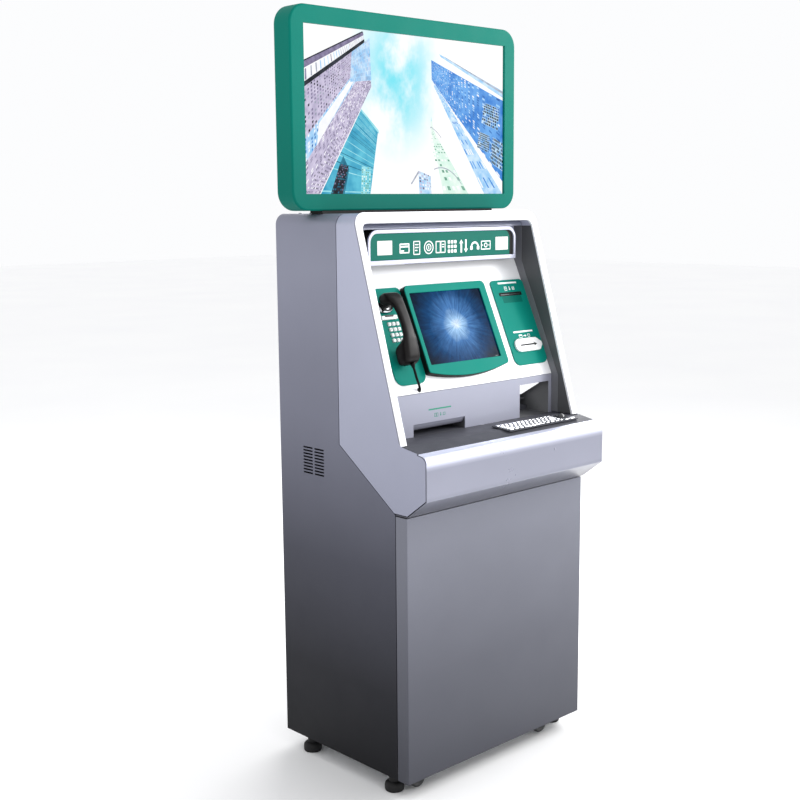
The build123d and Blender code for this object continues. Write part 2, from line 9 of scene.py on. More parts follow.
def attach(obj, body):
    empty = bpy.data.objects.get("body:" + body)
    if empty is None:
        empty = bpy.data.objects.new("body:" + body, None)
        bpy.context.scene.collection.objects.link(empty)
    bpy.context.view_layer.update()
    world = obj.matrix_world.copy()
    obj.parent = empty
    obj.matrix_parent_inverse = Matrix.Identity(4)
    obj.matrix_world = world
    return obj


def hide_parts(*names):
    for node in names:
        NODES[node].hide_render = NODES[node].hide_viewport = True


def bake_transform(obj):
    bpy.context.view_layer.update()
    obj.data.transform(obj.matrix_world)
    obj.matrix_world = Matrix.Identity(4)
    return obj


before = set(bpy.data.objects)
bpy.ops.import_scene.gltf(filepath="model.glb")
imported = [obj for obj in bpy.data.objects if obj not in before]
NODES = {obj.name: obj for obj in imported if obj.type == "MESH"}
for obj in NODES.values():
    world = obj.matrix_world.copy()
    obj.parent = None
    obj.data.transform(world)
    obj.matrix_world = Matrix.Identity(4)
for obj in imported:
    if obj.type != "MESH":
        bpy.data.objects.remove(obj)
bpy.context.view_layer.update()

# ------------------------------------------------------------------ frames of reference
S = 0.001
Y_MID, FOOT_H = 199.0, 44.0
_d = math.hypot(222.2 - 87.0, 1222.0 - 922.0)
NY, NZ = -(1222.0 - 922.0) / _d, (222.2 - 87.0) / _d
KA = math.atan2(4.5, 64.0)


def P(x, y, z):
    """Cabinet millimetres to the row frame in metres."""
    return Vector((x * S, (y - Y_MID) * S, (z + FOOT_H) * S))


def I(x, u, o):
    """Inclined fascia: x, u down the slope, o off the face."""
    return P(x, 222.2 - NZ * u + NY * o, 1222.0 + NY * u + NZ * o)


def K(x, y, z):
    """Keyboard plate's own frame."""
    return P(140.0 + x, 6.0 + y * math.cos(KA) - z * math.sin(KA), 819.4 + y * math.sin(KA) + z * math.cos(KA))


def FX(y):
    """Plane facing the front at cabinet depth y: (x, z, d) with d towards the viewer."""
    return lambda a, b, d: P(a, y - d, b)


# ------------------------------------------------------------------ materials
def lin(rgb):
    out = []
    for c in rgb:
        c = c / 255.0
        out.append(c / 12.92 if c <= 0.04045 else ((c + 0.055) / 1.055) ** 2.4)
    return (out[0], out[1], out[2], 1.0)


class Mat:
    def __init__(self, name):
        self.m = bpy.data.materials.new(name)
        self.m.use_nodes = True
        self.nt = self.m.node_tree
        self.b = self.nt.nodes["Principled BSDF"]
        self.tc = self.nt.nodes.new("ShaderNodeTexCoord")
        self.obj = self.tc.outputs["Object"]

    def node(self, kind, ins=None, **props):
        n = self.nt.nodes.new(kind)
        for k, v in props.items():
            setattr(n, k, v)
        for k, v in (ins or {}).items():
            s = n.inputs[k]
            if isinstance(v, bpy.types.NodeSocket):
                self.nt.links.new(v, s)
            else:
                s.default_value = v
        return n

    def set(self, **k):
        for name, v in k.items():
            s = self.b.inputs[name.replace("_", " ")]
            if isinstance(v, bpy.types.NodeSocket):
                self.nt.links.new(v, s)
            else:
                s.default_value = v
        return self

    def noise(self, scale, detail=2.0, stretch=None, rough=0.5):
        src = self.obj
        if stretch:
            src = self.node("ShaderNodeMapping", {"Vector": self.obj, "Scale": stretch}).outputs[0]
        return self.node("ShaderNodeTexNoise", {"Vector": src, "Scale": scale, "Detail": detail, "Roughness": rough}).outputs[0]

    def rng(self, v, a0, a1, b0, b1, smooth=False):
        return self.node("ShaderNodeMapRange", {"Value": v, 1: a0, 2: a1, 3: b0, 4: b1},
                         interpolation_type="SMOOTHSTEP" if smooth else "LINEAR").outputs[0]

    def mix(self, f, a, b, mode="MIX"):
        n = self.node("ShaderNodeMix", {0: f, 6: a, 7: b}, data_type="RGBA", blend_type=mode)
        return n.outputs[2]

    def math(self, op, a, b=0.0):
        return self.node("ShaderNodeMath", {0: a, 1: b}, operation=op).outputs[0]

    def ramp(self, f, stops):
        n = self.node("ShaderNodeValToRGB", {0: f})
        el = n.color_ramp.elements
        while len(el) < len(stops):
            el.new(0.5)
        for e, (p, c) in zip(el, stops):
            e.position = p
            e.color = c if len(c) == 4 else (*c, 1.0)
        return n.outputs[0]

    def bump(self, h, strength, dist, under=None):
        ins = {"Height": h, "Strength": strength, "Distance": dist}
        if under is not None:
            ins["Normal"] = under
        return self.node("ShaderNodeBump", ins).outputs[0]

    def xyz(self):
        return self.node("ShaderNodeSeparateXYZ", {0: self.obj}).outputs


def paint(name, rgb, metallic=0.35, rough=0.36, shade=None, peel=0.10, coat=0.25, var=0.05, spec=0.5, fleck=0.16):
    """Sprayed metallic enamel: orange peel, fine flake and a little cloudiness; shade = [(height m, factor), ...]
    multiplies the colour by height, as painted shade.
    """
    M = Mat(name)
    base = lin(rgb)
    cloud = M.noise(2.6, 3.0)
    flake = M.noise(2600.0, 1.0)
    col = M.mix(M.rng(cloud, 0.3, 0.7, 0.0, 1.0), tuple(c * (1 - var) for c in base[:3]) + (1,), tuple(min(1, c * (1 + var)) for c in base[:3]) + (1,))
    col = M.mix(M.rng(flake, 0.35, 0.75, 0.0, fleck), col, tuple(min(1, c * 1.35 + 0.03) for c in base[:3]) + (1,))
    # painted shade: the colour is multiplied by a factor that follows height
    if shade:
        z = M.xyz()[2]
        f = M.math("DIVIDE", z, 1.9)
        col = M.mix(1.0, col, M.ramp(f, [(min(1, h / 1.9), (v, v, v * (1.0 + 0.05 * (1 - v)))) for h, v in shade]), "MULTIPLY")
    smear = M.noise(14.0, 4.0, rough=0.62)
    M.set(Base_Color=col, Roughness=M.rng(smear, 0.3, 0.7, rough - 0.035, rough + 0.05), Metallic=metallic)
    M.b.inputs["Coat Weight"].default_value = coat
    M.b.inputs["Coat Roughness"].default_value = 0.12
    M.b.inputs["Specular IOR Level"].default_value = spec
    orange = M.noise(420.0, 2.0)
    fine = M.noise(1800.0, 1.0)
    M.set(Normal=M.bump(fine, 0.05, 0.00008, M.bump(orange, peel, 0.00025)))
    return M.m


def texpaint(name, rgb, rough=0.55, metallic=0.1, grain=900.0, var=0.08, spec=0.5):
    """Textured powder coat."""
    M = Mat(name)
    base = lin(rgb)
    g = M.noise(grain, 3.0, rough=0.6)
    c = M.mix(M.rng(g, 0.3, 0.7, 0, 1), tuple(x * (1 - var) for x in base[:3]) + (1,), tuple(min(1, x * (1 + var)) for x in base[:3]) + (1,))
    c = M.mix(M.rng(M.noise(5.0, 4.0), 0.35, 0.7, 0.0, 0.22), c, tuple(x * 0.86 for x in base[:3]) + (1,))
    M.set(Base_Color=c, Metallic=metallic, Roughness=M.rng(M.noise(22.0, 3.0), 0.3, 0.7, rough - 0.06, rough + 0.06))
    M.b.inputs["Specular IOR Level"].default_value = spec
    M.set(Normal=M.bump(g, 0.22, 0.0003))
    return M.m


def plastic(name, rgb, rough=0.35, grain=1500.0, gb=0.06, var=0.04, coat=0.0, spec=0.5, tint=None):
    M = Mat(name)
    base = lin(rgb)
    v = M.noise(7.0, 3.0)
    c = M.mix(M.rng(v, 0.3, 0.7, 0, 1), tuple(x * (1 - var) for x in base[:3]) + (1,), tuple(min(1, x * (1 + var) + 0.001) for x in base[:3]) + (1,))
    if tint:
        c = M.mix(M.rng(M.noise(18.0, 5.0, rough=0.7), 0.45, 0.75, 0.0, 0.5), c, lin(tint))
    M.set(Base_Color=c, Roughness=M.rng(M.noise(30.0, 4.0, rough=0.65), 0.3, 0.7, max(0.03, rough - 0.05), rough + 0.06))
    M.b.inputs["Coat Weight"].default_value = coat
    M.b.inputs["Coat Roughness"].default_value = 0.08
    M.b.inputs["Specular IOR Level"].default_value = spec
    M.set(Normal=M.bump(M.noise(grain, 2.0), gb, 0.0002))
    return M.m


def metal(name, rgb, rough=0.28, stretch=(1, 1, 1), scale=900.0, gb=0.08, aniso=0.0, dark=0.8):
    M = Mat(name)
    base = lin(rgb)
    line = M.noise(scale, 3.0, stretch=stretch, rough=0.7)
    c = M.mix(M.rng(line, 0.3, 0.7, 0, 1), tuple(x * dark for x in base[:3]) + (1,), base)
    c = M.mix(M.rng(M.noise(9.0, 4.0), 0.5, 0.8, 0.0, 0.25), c, tuple(x * 0.7 for x in base[:3]) + (1,))
    M.set(Base_Color=c, Metallic=1.0, Roughness=M.rng(line, 0.25, 0.75, rough - 0.06, rough + 0.08))
    M.b.inputs["Anisotropic"].default_value = aniso
    M.set(Normal=M.bump(line, gb, 0.0001))
    return M.m


def glow(name, rgb_a, rgb_b, scale=60.0, power=1.0, detail=3.0, stretch=None, lo=0.35, hi=0.65, rough=0.3, spec=0.15):
    """A printed or lit surface with a procedural blotch between two colours."""
    M = Mat(name)
    c = M.mix(M.rng(M.noise(scale, detail, stretch=stretch), lo, hi, 0, 1), lin(rgb_a), lin(rgb_b))
    M.set(Emission_Color=c, Base_Color=M.mix(0.94, c, (0, 0, 0, 1)))
    M.b.inputs["Emission Strength"].default_value = power
    M.b.inputs["Roughness"].default_value = rough
    M.b.inputs["Specular IOR Level"].default_value = spec
    return M.m


# painted shade: the body paint is darkened towards the foot, by height
BODY_PAINTED_SHADE = [(0.044, 0.022), (0.25, 0.060), (0.55, 0.23), (0.90, 0.66), (1.25, 0.94), (1.9, 0.97)]
# painted shade: the door paint is darkened towards its foot, by height
DOOR_PAINTED_SHADE = [(0.044, 0.31), (0.30, 0.49), (0.62, 0.90), (1.9, 0.92)]
m_body = paint("body_enamel", (143, 145, 161), 0.30, 0.44, BODY_PAINTED_SHADE, coat=0.0, spec=0.16, fleck=0.08)
# painted shade: the hood paint is darkened towards its lower end, by height
m_hood = paint("hood_enamel", (180, 183, 203), 0.25, 0.38, [(0.70, 0.62), (1.0, 0.86), (1.4, 1.0)], coat=0.08, spec=0.35)
m_rim = paint("rim_enamel", (246, 247, 252), 0.05, 0.30, None, coat=0.4, var=0.012)
m_door = paint("door_enamel", (119, 121, 132), 0.30, 0.40, DOOR_PAINTED_SHADE, coat=0.04, spec=0.25)
# painted highlight and painted shade: the near-white base is the bright band on the rounded lip above 0.832 m; the
# height ramp darkens it to silver on the apron front and darker still down the chamfer
m_apron = paint("apron_enamel_painted_light", (225, 228, 248), 0.40, 0.30, [(0.690, 0.105), (0.722, 0.155), (0.744, 0.275), (0.756, 0.345), (0.821, 0.345), (0.832, 0.90), (1.9, 1.0)], peel=0.02, coat=0.15, fleck=0.02)
m_white = paint("fascia_white", (246, 247, 250), 0.0, 0.36, None, coat=0.2, var=0.012)
m_silver = paint("fascia_silver", (162, 164, 180), 0.25, 0.38, None, peel=0.04, coat=0.1, spec=0.35)
m_header = paint("header_silver", (186, 188, 208), 0.2, 0.38, None, coat=0.1)
m_trim = paint("trim_silver", (188, 190, 209), 0.25, 0.30, None, peel=0.0, fleck=0.05)
m_strip = paint("strip_silver", (138, 141, 157), 0.25, 0.34, None, peel=0.0, coat=0.1, fleck=0.05)
m_shelf = texpaint("shelf_texture", (77, 78, 85), 0.55, 0.05, spec=0.18)
m_liner = texpaint("liner_texture", (82, 83, 86), 0.50, 0.10)
m_flange = texpaint("flange_texture", (112, 113, 118), 0.42, 0.2)
# painted shadow: dark colour for the sheets that fill the gaps beside the apron
m_seam = plastic("seam_shadow_gap", (30, 31, 34), 0.7)
m_zinc = metal("zinc_plate", (176, 180, 184), 0.34, (1, 1, 1), 60.0, 0.04)
m_chrome = metal("cradle_chrome", (214, 216, 220), 0.10, (1, 1, 40), 50.0, 0.02)
m_steel = metal("brushed_steel", (226, 227, 230), 0.15, (1, 60, 60), 90.0, 0.06, 0.3, 0.9)
# painted shade: the display green is darkened towards the frame's lower edge, by height
m_disp = paint("display_green", (4, 117, 103), 0.0, 0.50, [(1.39, 0.86), (1.62, 0.98), (1.9, 1.03)], coat=0.0, var=0.03, spec=0.07, fleck=0.0)
m_green = paint("panel_green", (8, 131, 117), 0.0, 0.50, None, coat=0.0, var=0.03, spec=0.06, fleck=0.0)
# painted shade: a darker copy of the panel green
m_green_painted_shade = paint("panel_green_painted_shade", (7, 106, 94), 0.0, 0.52, None, coat=0.0, var=0.03, spec=0.06, fleck=0.0)
m_signg = paint("sign_green", (10, 106, 92), 0.0, 0.42, None, coat=0.0, var=0.03, spec=0.12, fleck=0.0)
m_black = plastic("black_abs", (16, 16, 18), 0.42, spec=0.4)
m_phone = plastic("phone_black", (9, 6, 6), 0.36, 2200.0, 0.02, coat=0.0, spec=0.20, tint=(16, 11, 12))
m_dark = plastic("recess_black", (9, 9, 10), 0.6, spec=0.25)
m_keyw = plastic("key_white", (246, 250, 250), 0.34)
m_whitep = plastic("white_abs", (248, 249, 250), 0.36)
m_mark = plastic("mark_white", (250, 252, 252), 0.4)
m_markg = plastic("mark_green", (34, 150, 120), 0.45)
m_markk = plastic("mark_black", (12, 12, 13), 0.45)
m_digit = plastic("digit_grey", (92, 104, 104), 0.5)
m_rubber = plastic("foot_rubber", (18, 18, 19), 0.62, 700.0, 0.25, spec=0.3)
m_tyre = plastic("tyre_grey", (34, 35, 37), 0.5, 900.0, 0.1)
m_cord = plastic("cord_jacket", (7, 7, 8), 0.5, 1800.0, 0.06, spec=0.12)
m_module = texpaint("module_plate", (150, 154, 158), 0.42, 0.6, 1200.0)
m_pcb = plastic("label_blank", (224, 226, 228), 0.5)
# painted highlight: a glowing white for the bright sloped plate in the document bay
m_bay_plate_glow = glow("bay_plate_painted_glow", (250, 252, 255), (255, 255, 255), 40.0, 1.05)
m_window = glow("sign_window", (252, 254, 255), (255, 255, 255), 40.0, 1.1)


# ------------------------------------------------------------------ mesh helpers
def finish_obj(name, bm, mats, body, replaces=(), bevel=0.0, seg=2, angle=35.0, sub=0, smooth=True, wn=True, merge=1e-6):
    if merge:
        bmesh.ops.remove_doubles(bm, verts=bm.verts, dist=merge)
    bmesh.ops.recalc_face_normals(bm, faces=bm.faces)
    me = bpy.data.meshes.new(name)
    bm.to_mesh(me)
    bm.free()
    for m in (mats if isinstance(mats, (list, tuple)) else [mats]):
        me.materials.append(m)
    if smooth:
        me.polygons.foreach_set("use_smooth", [True] * len(me.polygons))
    o = bpy.data.objects.new(name, me)
    bpy.context.scene.collection.objects.link(o)
    if bevel:
        b = o.modifiers.new("edge", "BEVEL")
        b.width = bevel * S
        b.segments = seg
        b.limit_method = "ANGLE"
        b.angle_limit = math.radians(angle)
        b.use_clamp_overlap = True
        b.miter_outer = "MITER_ARC"
    if sub:
        s = o.modifiers.new("round", "SUBSURF")
        s.levels = s.render_levels = sub
    if wn and smooth and not sub:
        w = o.modifiers.new("normals", "WEIGHTED_NORMAL")
        w.keep_sharp = False
        w.weight = 60
    if body:
        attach(o, body)
    if replaces:
        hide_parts(*replaces)
    return o


def rounded(pts, radii, seg=6):
    """Closed 2-D outline with each corner rounded by its radius."""
    out, n = [], len(pts)
    for i in range(n):
        r = radii[i] if isinstance(radii, (list, tuple)) else radii
        p = Vector(pts[i]).to_2d()
        a, b = Vector(pts[i - 1]).to_2d() - p, Vector(pts[(i + 1) % n]).to_2d() - p
        if r <= 0:
            out.append((p.x, p.y))
            continue
        ang = a.angle(b)
        t = min(r / math.tan(ang / 2), a.length * 0.49, b.length * 0.49)
        r = t * math.tan(ang / 2)
        a.normalize(); b.normalize()
        c = p + (a + b).normalized() * (r / math.sin(ang / 2))
        v0, v1 = (p + a * t) - c, (p + b * t) - c
        tot = v0.angle(v1)
        sgn = 1 if v0.cross(v1) > 0 else -1
        for k in range(seg + 1):
            w = sgn * tot * k / seg
            cs, sn = math.cos(w), math.sin(w)
            out.append((c.x + v0.x * cs - v0.y * sn, c.y + v0.x * sn + v0.y * cs))
    return out


def rrect(x0, x1, z0, z1, r, seg=6):
    """Rounded rectangle; r = one radius or (bl, br, tr, tl)."""
    r = [r] * 4 if not isinstance(r, (list, tuple)) else list(r)
    return rounded([(x0, z0), (x1, z0), (x1, z1), (x0, z1)], [max(q, 0.01) for q in r], seg)


def slab(bm, pts, fn, d0, d1, mi=0, side=None, cap0=True):
    """Push a closed outline from d0 to d1 (d1 is the face that shows)."""
    side = mi if side is None else side
    lo = [bm.verts.new(fn(a, b, d0)) for a, b in pts]
    hi = [bm.verts.new(fn(a, b, d1)) for a, b in pts]
    n = len(pts)
    f = bm.faces.new(hi)
    f.material_index = mi
    if cap0:
        g = bm.faces.new(list(reversed(lo)))
        g.material_index = side
    for i in range(n):
        q = bm.faces.new((lo[i], lo[(i + 1) % n], hi[(i + 1) % n], hi[i]))
        q.material_index = side
    return bm


def ring(bm, outer, inner, fn, d0, d1, mi=0, side=None, inside=None):
    """Frame between two outlines with the same number of points."""
    side = mi if side is None else side
    inside = mi if inside is None else inside
    n = len(outer)
    o0 = [bm.verts.new(fn(a, b, d0)) for a, b in outer]
    o1 = [bm.verts.new(fn(a, b, d1)) for a, b in outer]
    i0 = [bm.verts.new(fn(a, b, d0)) for a, b in inner]
    i1 = [bm.verts.new(fn(a, b, d1)) for a, b in inner]
    for k in range(n):
        j = (k + 1) % n
        for quad, m in (((o1[k], o1[j], i1[j], i1[k]), mi), ((o0[j], o0[k], i0[k], i0[j]), side), ((o0[k], o0[j], o1[j], o1[k]), side), ((i0[j], i0[k], i1[k], i1[j]), inside)):
            f = bm.faces.new(quad)
            f.material_index = m
    return bm


def tube_yz(bm, outer, x0, x1, mi=0, caps=True, nx=1):
    """Outline in y, z pushed along x."""
    rows = [[bm.verts.new(P(x0 + (x1 - x0) * k / nx, a, b)) for a, b in outer] for k in range(nx + 1)]
    n = len(outer)
    for k in range(nx):
        for i in range(n):
            f = bm.faces.new((rows[k][i], rows[k][(i + 1) % n], rows[k + 1][(i + 1) % n], rows[k + 1][i]))
            f.material_index = mi
    if caps:
        bm.faces.new(list(reversed(rows[0]))).material_index = mi
        bm.faces.new(rows[-1]).material_index = mi
    return rows


def bx(bm, x0, x1, y0, y1, z0, z1, fn=P, mi=0):
    v = [bm.verts.new(fn(x, y, z)) for x in (x0, x1) for y in (y0, y1) for z in (z0, z1)]
    for q in ((0, 1, 3, 2), (4, 6, 7, 5), (0, 4, 5, 1), (2, 3, 7, 6), (0, 2, 6, 4), (1, 5, 7, 3)):
        bm.faces.new([v[i] for i in q]).material_index = mi
    return v


def lathe(bm, profile, fn, n=32, mi=0, close=True):
    """Profile [(radius, height)] turned about the local axis; fn(a, b, h) places it. Radius 0 closes an end."""
    rings = []
    for r, h in profile:
        if r < 1e-6:
            rings.append([bm.verts.new(fn(0, 0, h))])
        else:
            rings.append([bm.verts.new(fn(r * math.cos(2 * math.pi * k / n), r * math.sin(2 * math.pi * k / n), h)) for k in range(n)])
    for a, b in zip(rings, rings[1:]):
        for k in range(n):
            j = (k + 1) % n
            if len(a) == 1 and len(b) == 1:
                continue
            if len(a) == 1:
                f = bm.faces.new((a[0], b[j], b[k]))
            elif len(b) == 1:
                f = bm.faces.new((a[k], a[j], b[0]))
            else:
                f = bm.faces.new((a[k], a[j], b[j], b[k]))
            f.material_index = mi
    return rings


def dress(name, mat, bevel=0.0, seg=2, angle=40.0):
    """A carried-over CAD node: its material, and softened edges where asked."""
    o = NODES[name]
    o.data.materials.clear()
    o.data.materials.append(mat)
    o.data.polygons.foreach_set("material_index", [0] * len(o.data.polygons))
    if bevel:
        w = o.modifiers.new("weld", "WELD")
        w.merge_threshold = 0.000004
        b = o.modifiers.new("edge", "BEVEL")
        b.width = bevel * S
        b.segments = seg
        b.limit_method = "ANGLE"
        b.angle_limit = math.radians(angle)
        b.use_clamp_overlap = False
        o.data.polygons.foreach_set("use_smooth", [True] * len(o.data.polygons))
        wn = o.modifiers.new("normals", "WEIGHTED_NORMAL")
        wn.keep_sharp = False
        wn.weight = 60
    return o


# ------------------------------------------------------------------ camera (first, with the cord)
cam_data = bpy.data.cameras.new("camera")
cam = bpy.data.objects.new("camera", cam_data)
bpy.context.scene.collection.objects.link(cam)
yaw, pitch, roll = 0.7552, -0.1569, -0.0084
fwd = Vector((math.sin(yaw) * math.cos(pitch), math.cos(yaw) * math.cos(pitch), math.sin(pitch)))
right = Vector((math.cos(yaw), -math.sin(yaw), 0.0))
up = right.cross(fwd)
r2 = right * math.cos(roll) + up * math.sin(roll)
u2 = -right * math.sin(roll) + up * math.cos(roll)
cam.matrix_world = Matrix(((r2.x, u2.x, -fwd.x, -2.2357), (r2.y, u2.y, -fwd.y, -2.2156), (r2.z, u2.z, -fwd.z, 1.4143), (0, 0, 0, 1)))
cam_data.lens = 55.95
cam_data.sensor_width = 36.0
cam_data.clip_start, cam_data.clip_end = 0.05, 60.0
bpy.context.scene.camera = cam

# ------------------------------------------------------------------ handset cord
CORD_ROUTE = [(-222.0, 264.9, 38.5), (-220.5, 282.5, 37.0), (-211.5, 300.0, 26.5), (-198.0, 312.5, 14.5), (-189.0, 321.0, 3.2)]
CORD_R = 3.0
cu = bpy.data.curves.new("cord_route", "CURVE")
cu.dimensions = "3D"
cu.resolution_u = 24
sp = cu.splines.new("NURBS")
sp.points.add(len(CORD_ROUTE) - 1)
for q, p in zip(sp.points, CORD_ROUTE):
    v = I(*p)
    q.co = (v.x, v.y, v.z, 1.0)
sp.order_u = 3
sp.use_endpoint_u = True
tmp = bpy.data.objects.new("cord_route", cu)
bpy.context.scene.collection.objects.link(tmp)
bpy.context.view_layer.update()
line = bpy.data.meshes.new_from_object(tmp)
cord_pts = [v.co.copy() for v in line.vertices]
bpy.data.objects.remove(tmp)
bpy.data.meshes.remove(line)


def sweep(bm, pts, radius, n=16, mi=0, caps=True):
    """Round tube along points, with a frame carried along without twist."""
    rings, prev = [], None
    m = len(pts)
    for i, p in enumerate(pts):
        t = (pts[min(i + 1, m - 1)] - pts[max(i - 1, 0)]).normalized()
        if prev is None:
            a = t.orthogonal().normalized()
        else:
            a = (prev - t * prev.dot(t)).normalized()
        prev = a
        b = t.cross(a)
        r = radius(i / (m - 1)) if callable(radius) else radius
        rings.append([bm.verts.new(p + (a * math.cos(2 * math.pi * k / n) + b * math.sin(2 * math.pi * k / n)) * r * S) for k in range(n)])
    for a, b in zip(rings, rings[1:]):
        for k in range(n):
            j = (k + 1) % n
            bm.faces.new((a[k], a[j], b[j], b[k])).material_index = mi
    if caps:
        bm.faces.new(list(reversed(rings[0]))).material_index = mi
        bm.faces.new(rings[-1]).material_index = mi
    return rings


bm = bmesh.new()
sweep(bm, cord_pts, CORD_R)
cord = finish_obj("handset_cord_tube", bm, m_cord, None, (), wn=False, merge=0)
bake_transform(cord)
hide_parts("handset_cord")

# small tapered boot where the cord leaves the handset, and a grommet where it enters the fascia
a0, a1 = cord_pts[0], cord_pts[min(8, len(cord_pts) - 1)]
t0 = (a1 - a0).normalized()
e1 = t0.orthogonal().normalized()
e2 = t0.cross(e1)
bm = bmesh.new()
lathe(bm, [(3.05, -1.6), (5.4, -1.6), (5.6, 0.6), (5.2, 2.0), (5.5, 2.6), (4.9, 3.6), (5.0, 4.4), (4.4, 5.4), (4.5, 6.2), (3.9, 7.2), (3.6, 9.6), (3.06, 9.8)],
      lambda a, b, h: a0 + (e1 * a + e2 * b + t0 * h) * S, 24)
finish_obj("handset_cord_boot", bm, m_cord, "handset", wn=False)
bm = bmesh.new()
lathe(bm, [(3.3, 2.6), (3.8, 2.9), (4.6, 2.6), (5.0, 1.8), (5.2, 1.4), (5.2, 0.2), (4.9, 0.1), (4.9, -7.6), (3.3, -7.8)],
      lambda a, b, h: I(-189.0 + a, 321.0 + b, h), 28)
finish_obj("cord_grommet", bm, m_black, "root", ("cord_gland",), wn=False)

# ------------------------------------------------------------------ cabinet sheet metal kept from the CAD
for n, m, bv in (("left_side_panel", m_body, 0), ("right_side_panel", m_body, 0), ("top_cover", m_body, 0),
                 ("front_door", m_door, 0), ("rear_door", m_body, 0),
                 ("base_frame", m_zinc, 0), ("power_cable_gland", m_black, 0), ("front_door_latch", m_zinc, 0),
                 ("rear_door_lock", m_zinc, 0), ("hinge_pins", m_zinc, 0), ("console_shelf", m_shelf, 0),
                 ("keyboard_plate", m_shelf, 0), ("header_back_panel", m_header, 0), ("fascia_panel", m_white, 0),
                 ("lower_fascia_panel", m_silver, 0), ("phone_panel", m_green, 0), ("service_panel", m_green, 0),
                 ("display_frame", m_disp, 0), ("display_rear_cover", m_black, 0), ("display_pedestal", m_dark, 0)):
    dress(n, m, bv)

# ------------------------------------------------------------------ hood: side skins with the roof, a front rim and dark liners
RS = (170.5 - 16.5) / (1347.0 - 819.5)


def yr(z):
    return 16.5 + (z - 819.5) * RS


def slope(y):
    return 818.0 + 0.19 * (y - 5.0)


RIM_T, GROOVE = 3.0, 1.7
OFF = (RIM_T + GROOVE) / 0.96
skin_front = rounded([(233, 1317), (yr(1317) + OFF, 1317), (yr(819.5) + OFF, 819.6), (-35.6, slope(-35.6) - 0.2), (-35.6, slope(-35.6) - 3.8),
                      (-67 + RIM_T + 0.9, slope(-63) - 3.8), (-67 + RIM_T + 0.9, 704.0), (-2.2, 658.8), (41.4, 658.8), (233, 796)],
                     [0, 0, 14, 0.4, 0.4, 28, 3, 2, 0, 0], 10)
bm = bmesh.new()
sides = {}
for s in (-1, 1):
    vs = [bm.verts.new(P(s * 320, y, z)) for y, z in skin_front]
    bm.faces.new(vs if s > 0 else list(reversed(vs)))
    sides[s] = (vs[0], vs[1])
rows = []
for k in range(1, 13):
    al = math.radians(90.0 * k / 12)
    x, z = 290 + 30 * math.cos(al), 1317 + 30 * math.sin(al)
    rows.append((x, z))
strips = {}
for s in (-1, 1):
    prev = sides[s]
    for x, z in rows:
        cur = (bm.verts.new(P(s * x, 233, z)), bm.verts.new(P(s * x, yr(z) + OFF, z)))
        f = (prev[0], prev[1], cur[1], cur[0])
        bm.faces.new(f if s > 0 else tuple(reversed(f)))
        prev = cur
    strips[s] = prev
bm.faces.new((strips[1][0], strips[1][1], strips[-1][1], strips[-1][0]))
bmesh.ops.recalc_face_normals(bm, faces=bm.faces)
skin = finish_obj("hood_skin", bm, m_hood, "root", ("hood_shell",), wn=False)
up_test = [p for p in skin.data.polygons if abs(p.center.x) < 0.01]
so = skin.modifiers.new("sheet", "SOLIDIFY")
so.thickness = 0.0020
so.offset = -1.0 if up_test and up_test[0].normal.z > 0 else 1.0
so.use_even_offset = True
b = skin.modifiers.new("edge", "BEVEL")
b.width, b.segments, b.limit_method, b.angle_limit = 0.0005, 2, "ANGLE", math.radians(40)
w = skin.modifiers.new("normals", "WEIGHTED_NORMAL")
w.weight = 60

# the rim wraps the front edge of both cheeks and the roof
def u_path(xo, zo, r, z_low, seg=14):
    """Open path up the left side, over the top and down the right side."""
    pts = [(-xo, z_low + (zo - r - z_low) * k / 6) for k in range(7)]
    pts += [(-xo + r - r * math.cos(math.radians(90 * k / seg)), zo - r + r * math.sin(math.radians(90 * k / seg))) for k in range(1, seg + 1)]
    pts += [(-xo + r + (2 * xo - 2 * r) * k / 6, zo) for k in range(1, 6)]
    return pts + [(-x, z) for x, z in reversed(pts[:7 + seg])]


def lean(x, z, d):
    """Point on the leaning front plane, d behind it."""
    return P(x, yr(z) + 0.9602 * d, z - 0.2803 * d)


outer, inner = u_path(320, 1350.5, 32, 819.0), u_path(300, 1325, 16, 819.0)
bm = bmesh.new()
sec = []
for (xo, zo), (xi, zi) in zip(outer, inner):
    q = [lean(xo, zo, RIM_T), lean(xo, zo, 0), lean(xi, zi, 0), lean(xi, zi, 7.0), lean(xi + (xo - xi) * 0.5, zi + (zo - zi) * 0.5, 7.0), lean(xi + (xo - xi) * 0.5, zi + (zo - zi) * 0.5, RIM_T)]
    sec.append([bm.verts.new(v) for v in q])
for a, b2 in zip(sec, sec[1:]):
    for k in range(6):
        j = (k + 1) % 6
        bm.faces.new((a[k], a[j], b2[j], b2[k]))
bm.faces.new(sec[0])
bm.faces.new(list(reversed(sec[-1])))
finish_obj("hood_rim", bm, m_rim, "root", bevel=1.3, seg=3, angle=50)

